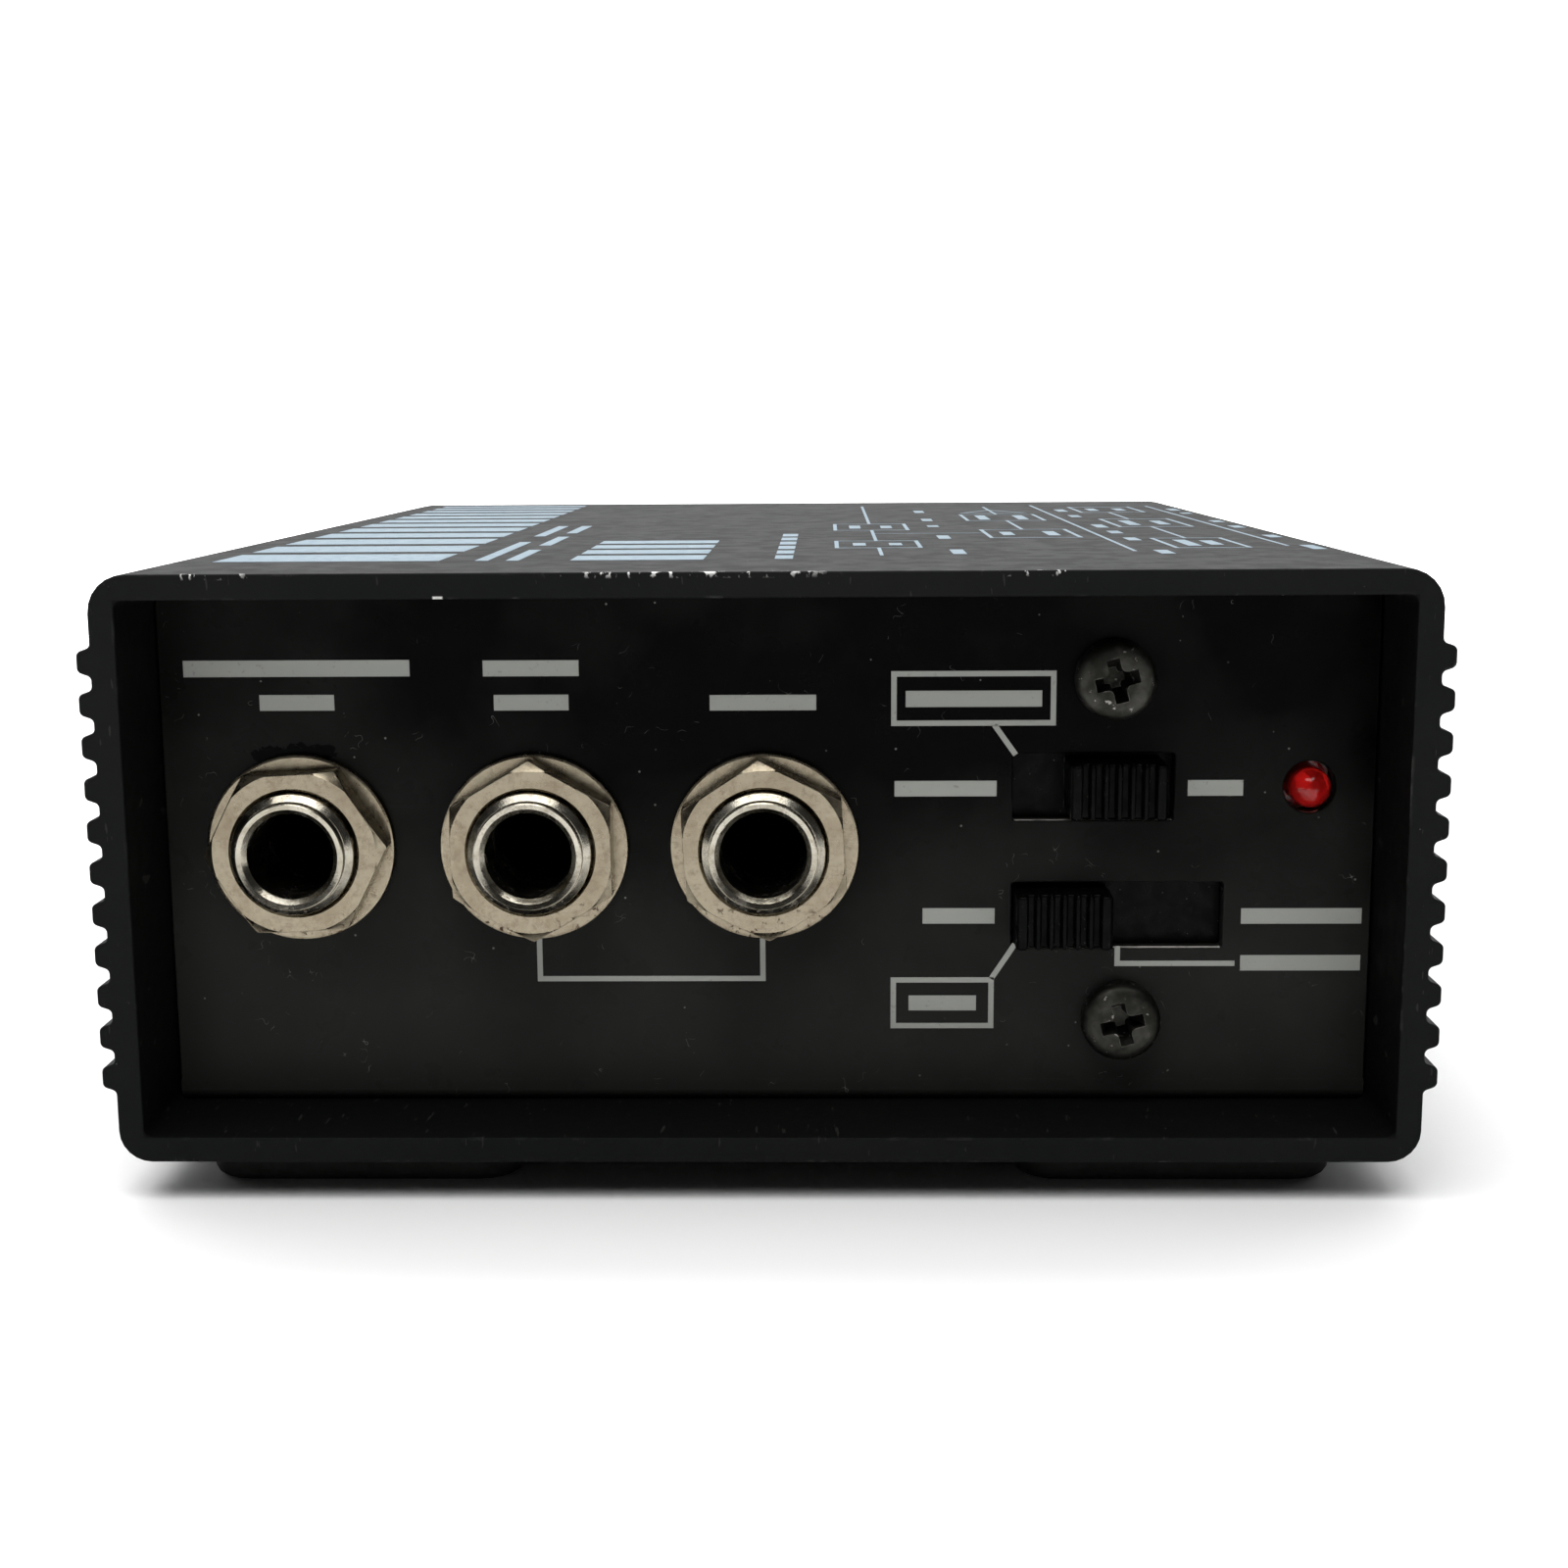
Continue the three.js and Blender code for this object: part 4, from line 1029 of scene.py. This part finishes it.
def front_legend():
    """Label bars (left, right, foot height above the sleeve's base, height) and plain lines."""
    labels = [
        (-44.49, -27.16, 35.01, 2.25), (-38.75, -33.02, 32.42, 2.17),
        (-21.56, -14.25, 35.00, 2.17), (-20.79, -15.08, 32.38, 2.15),
        (-4.31, 3.80, 32.32, 2.13), (10.60, 20.95, 32.51, 2.22),
        (9.77, 17.57, 25.62, 2.16), (32.14, 36.35, 25.61, 2.17),
        (11.96, 17.52, 15.62, 2.18), (36.48, 45.73, 15.57, 2.18),
        (36.52, 45.76, 11.85, 2.19), (10.90, 16.14, 8.69, 2.15),
    ]
    lines = [
        [(9.71, 31.76), (21.81, 31.76), (21.81, 35.54), (9.71, 35.54), (9.71, 31.76)],
        [(9.71, 7.94), (17.30, 7.94), (17.30, 11.61), (9.71, 11.61), (9.71, 7.94)],
        [(17.36, 31.60), (19.0, 29.30)],
        [(17.30, 11.70), (19.10, 14.45)],
        [(27.03, 14.30), (27.03, 12.91), (36.09, 12.91)],
        [(-17.78, 15.6), (-17.78, 11.75), (-0.42, 11.75), (-0.42, 15.6)],
    ]
    return [label_bar(*label) for label in labels] + [ribbon(line, LINE) for line in lines]


def rear_legend():
    """Label bars beside the output and round the ground-lift knob, seen from behind."""
    shell = -middle("output_connector_shell").x
    knob = -middle("ground_lift_switch_slider").x
    labels = [(shell - 36.2, shell - 16.7, 8.0, 2.2), (knob - 6.6, knob + 6.4, 27.4, 2.1),
              (knob - 12.5, knob - 8.3, 21.3, 2.1)]
    return [label_bar(*label) for label in labels]


def box_shape(x0, x1, y0, y1):
    """Outline of a plain bar."""
    return [(x0, y0), (x1, y0), (x1, y1), (x0, y1)]


def frame_shape(x0, x1, y0, y1, line=0.35):
    return ribbon([(x0, y0), (x1, y0), (x1, y1), (x0, y1), (x0, y0)], line)


def graded_bars(x0, x1, y0, y1, count, taper):
    """Plain bars across X whose length along Y shrinks from one to the next."""
    lengths = [1 - taper * i / count for i in range(count)]
    gap = 0.35 * (y1 - y0) / count
    unit = (y1 - y0 - gap * (count - 1)) / sum(lengths)
    shapes, near = [], y0
    for length in lengths:
        shapes.append(box_shape(x0, x1, near, near + length * unit))
        near += length * unit + gap
    return shapes


def signal_diagram(x0, y0):
    """Generic block diagram: boxes, an amplifier triangle, joining lines and label ticks."""
    shapes = []
    blocks = [(0, 7, 12, 22), (0, 7, 40, 52), (14, 22, 26, 40), (14, 22, 58, 72),
              (28, 34, 10, 24), (28, 35, 44, 60), (28, 35, 76, 90)]
    for a, b, c, d in blocks:
        shapes += frame_shape(x0 + a, x0 + b, y0 + c, y0 + d)
    lines = [
        [(3.5, 2), (3.5, 12)], [(3.5, 22), (3.5, 40)], [(3.5, 52), (3.5, 95)],
        [(3.5, 34), (14, 34)], [(18, 40), (18, 58)], [(18, 72), (18, 92)],
        [(31, 24), (31, 44)], [(31, 60), (31, 76)], [(24, 6), (24, 96)], [(37.5, 12), (37.5, 92)],
    ]
    for line in lines:
        shapes += ribbon([(x0 + a, y0 + b) for a, b in line], 0.3)
    triangle = [(14.5, 76), (18, 83), (21.5, 76), (14.5, 76)]
    shapes += ribbon([(x0 + a, y0 + b) for a, b in triangle], 0.35)
    rng = random.Random(4)
    for a, b, c, d in blocks:
        for x in (a + 1.4, b - 2.5):
            length = (d - c - 4) * rng.uniform(0.5, 1.0)
            middle_y = y0 + (c + d) / 2
            shapes.append(box_shape(x0 + x, x0 + x + 1.1, middle_y - length / 2,
                                    middle_y + length / 2))
    for x in (9.2, 25.6, 38.6):
        near = y0 + rng.uniform(2, 8)
        while near < y0 + 88:
            length = rng.uniform(2.5, 6.0)
            shapes.append(box_shape(x0 + x, x0 + x + 1.1, near, near + length))
            near += length + rng.uniform(5, 18)
    return shapes


def add_printing():
    front = moved(printed(front_legend()), FRONTWARD, (0, FACE, BOTTOM))
    piece("front_legend", front, WHITE_INK)
    rear = moved(printed(rear_legend()), REARWARD, (0, REAR_FACE, BOTTOM))
    piece("rear_legend", rear, WHITE_INK)
    shapes = graded_bars(-43, -25.4, RIM + 13, RIM + 117, 12, 0.7)
    shapes += graded_bars(-22.6, -21.6, RIM + 13, RIM + 66, 2, 0.5)
    shapes += graded_bars(-20.2, -19.2, RIM + 13, RIM + 66, 3, 0)
    shapes += graded_bars(-15.2, -4.9, RIM + 13, RIM + 39, 4, 0.3)
    shapes += graded_bars(0.6, 2.0, RIM + 13.5, RIM + 49, 6, 0)
    shapes += signal_diagram(5.5, RIM + 15)
    piece("top_print", moved(printed([shapes]), (0, 0, SLEEVE_TOP)), BLUE_INK)


# ------------------------------------------------------------------ stage, light, camera

FLOOR_FADE = (260, 480)     # distances from the origin between which the floor starts to glow
FLOOR_GLOW = 0.95
AMBIENT = 0.04              # world light on everything that is not seen directly
OVERHEAD_POWER = 2.8
BACKDROP_POWER = 12


def add_stage():
    """Pale floor that curves up behind the object and stays white further out."""
    bm = bmesh.new()
    wide, near, far, tall, bend = 2.5, -2.0, 1.0, 1.8, 0.6
    line = [(near, 0.0), (far - bend, 0.0)]
    line += [(far - bend + bend * math.sin(a), bend * (1 - math.cos(a)))
             for a in [math.pi / 2 * k / 16 for k in range(1, 17)]]
    line.append((far, tall))
    rows = [[bm.verts.new((x, y, z)) for y, z in line] for x in (-wide, wide)]
    for i in range(len(line) - 1):
        bm.faces.new((rows[0][i], rows[1][i], rows[1][i + 1], rows[0][i + 1]))
    mesh = bpy.data.meshes.new("floor")
    bm.to_mesh(mesh)
    bm.free()
    mesh.shade_smooth()
    s = Shader("floor", (0.86, 0.86, 0.86), 0.9)
    s.set("Base Color", s.mix(s.noise(0.004, 3), (0.85, 0.85, 0.85), (0.88, 0.88, 0.88)))
    away = s.node("VectorMath", {"operation": "LENGTH"})
    s.tree.links.new(s.place, away.inputs[0])
    s.set("Emission Color", (1, 1, 1, 1))
    s.set("Emission Strength", s.ramp(away.outputs["Value"], *FLOOR_FADE, 0.0, FLOOR_GLOW))
    mesh.materials.append(s.done())
    obj = bpy.data.objects.new("floor", mesh)
    bpy.context.scene.collection.objects.link(obj)


def add_light(name, at, target, size, power):
    data = bpy.data.lights.new(name, "AREA")
    data.shape = "RECTANGLE"
    data.size, data.size_y = size
    data.energy = power
    obj = bpy.data.objects.new(name, data)
    obj.location = at
    obj.rotation_euler = (Vector(target) - Vector(at)).to_track_quat("-Z", "Y").to_euler()
    bpy.context.scene.collection.objects.link(obj)


def add_lights():
    world = bpy.data.worlds.new("studio")
    world.use_nodes = True
    tree = world.node_tree
    background = tree.nodes["Background"]
    background.inputs["Color"].default_value = (1, 1, 1, 1)
    seen = tree.nodes.new("ShaderNodeLightPath").outputs["Is Camera Ray"]
    strength = tree.nodes.new("ShaderNodeMapRange")
    strength.inputs["To Min"].default_value = AMBIENT
    tree.links.new(seen, strength.inputs["Value"])
    tree.links.new(strength.outputs[0], background.inputs["Strength"])
    bpy.context.scene.world = world
    add_light("overhead", (-0.05, -0.13, 0.42), (0, -0.08, 0), (0.5, 0.42), OVERHEAD_POWER)
    add_light("backdrop", (0, 0.35, 1.0), (0, 0.95, 0.25), (1.6, 0.5), BACKDROP_POWER)


CAMERA_AT = (0.00454, -0.21285, 0.05776)
CAMERA_DOWN = 9.757      # degrees
CAMERA_TURN = 1.15       # degrees to the left
CAMERA_ROLL = -0.37      # degrees
LENS = 48.93             # on a 36 mm wide sensor


def add_camera():
    data = bpy.data.cameras.new("camera")
    data.sensor_width = 36
    data.lens = LENS
    data.clip_start = 0.01
    obj = bpy.data.objects.new("camera", data)
    turn = Matrix.Rotation(math.radians(CAMERA_TURN), 4, "Z")
    tilt = Matrix.Rotation(math.radians(90 - CAMERA_DOWN), 4, "X")
    roll = Matrix.Rotation(math.radians(CAMERA_ROLL), 4, "Z")
    obj.matrix_world = Matrix.Translation(CAMERA_AT) @ turn @ tilt @ roll
    bpy.context.scene.collection.objects.link(obj)
    bpy.context.scene.camera = obj


add_camera()
dress_nodes()
add_sleeve()
add_feet()
add_panels()
add_jacks()
add_sliders()
add_lamp()
add_screws()
add_output()
add_printing()
add_stage()
add_lights()
bpy.context.scene.view_settings.view_transform = "Standard"
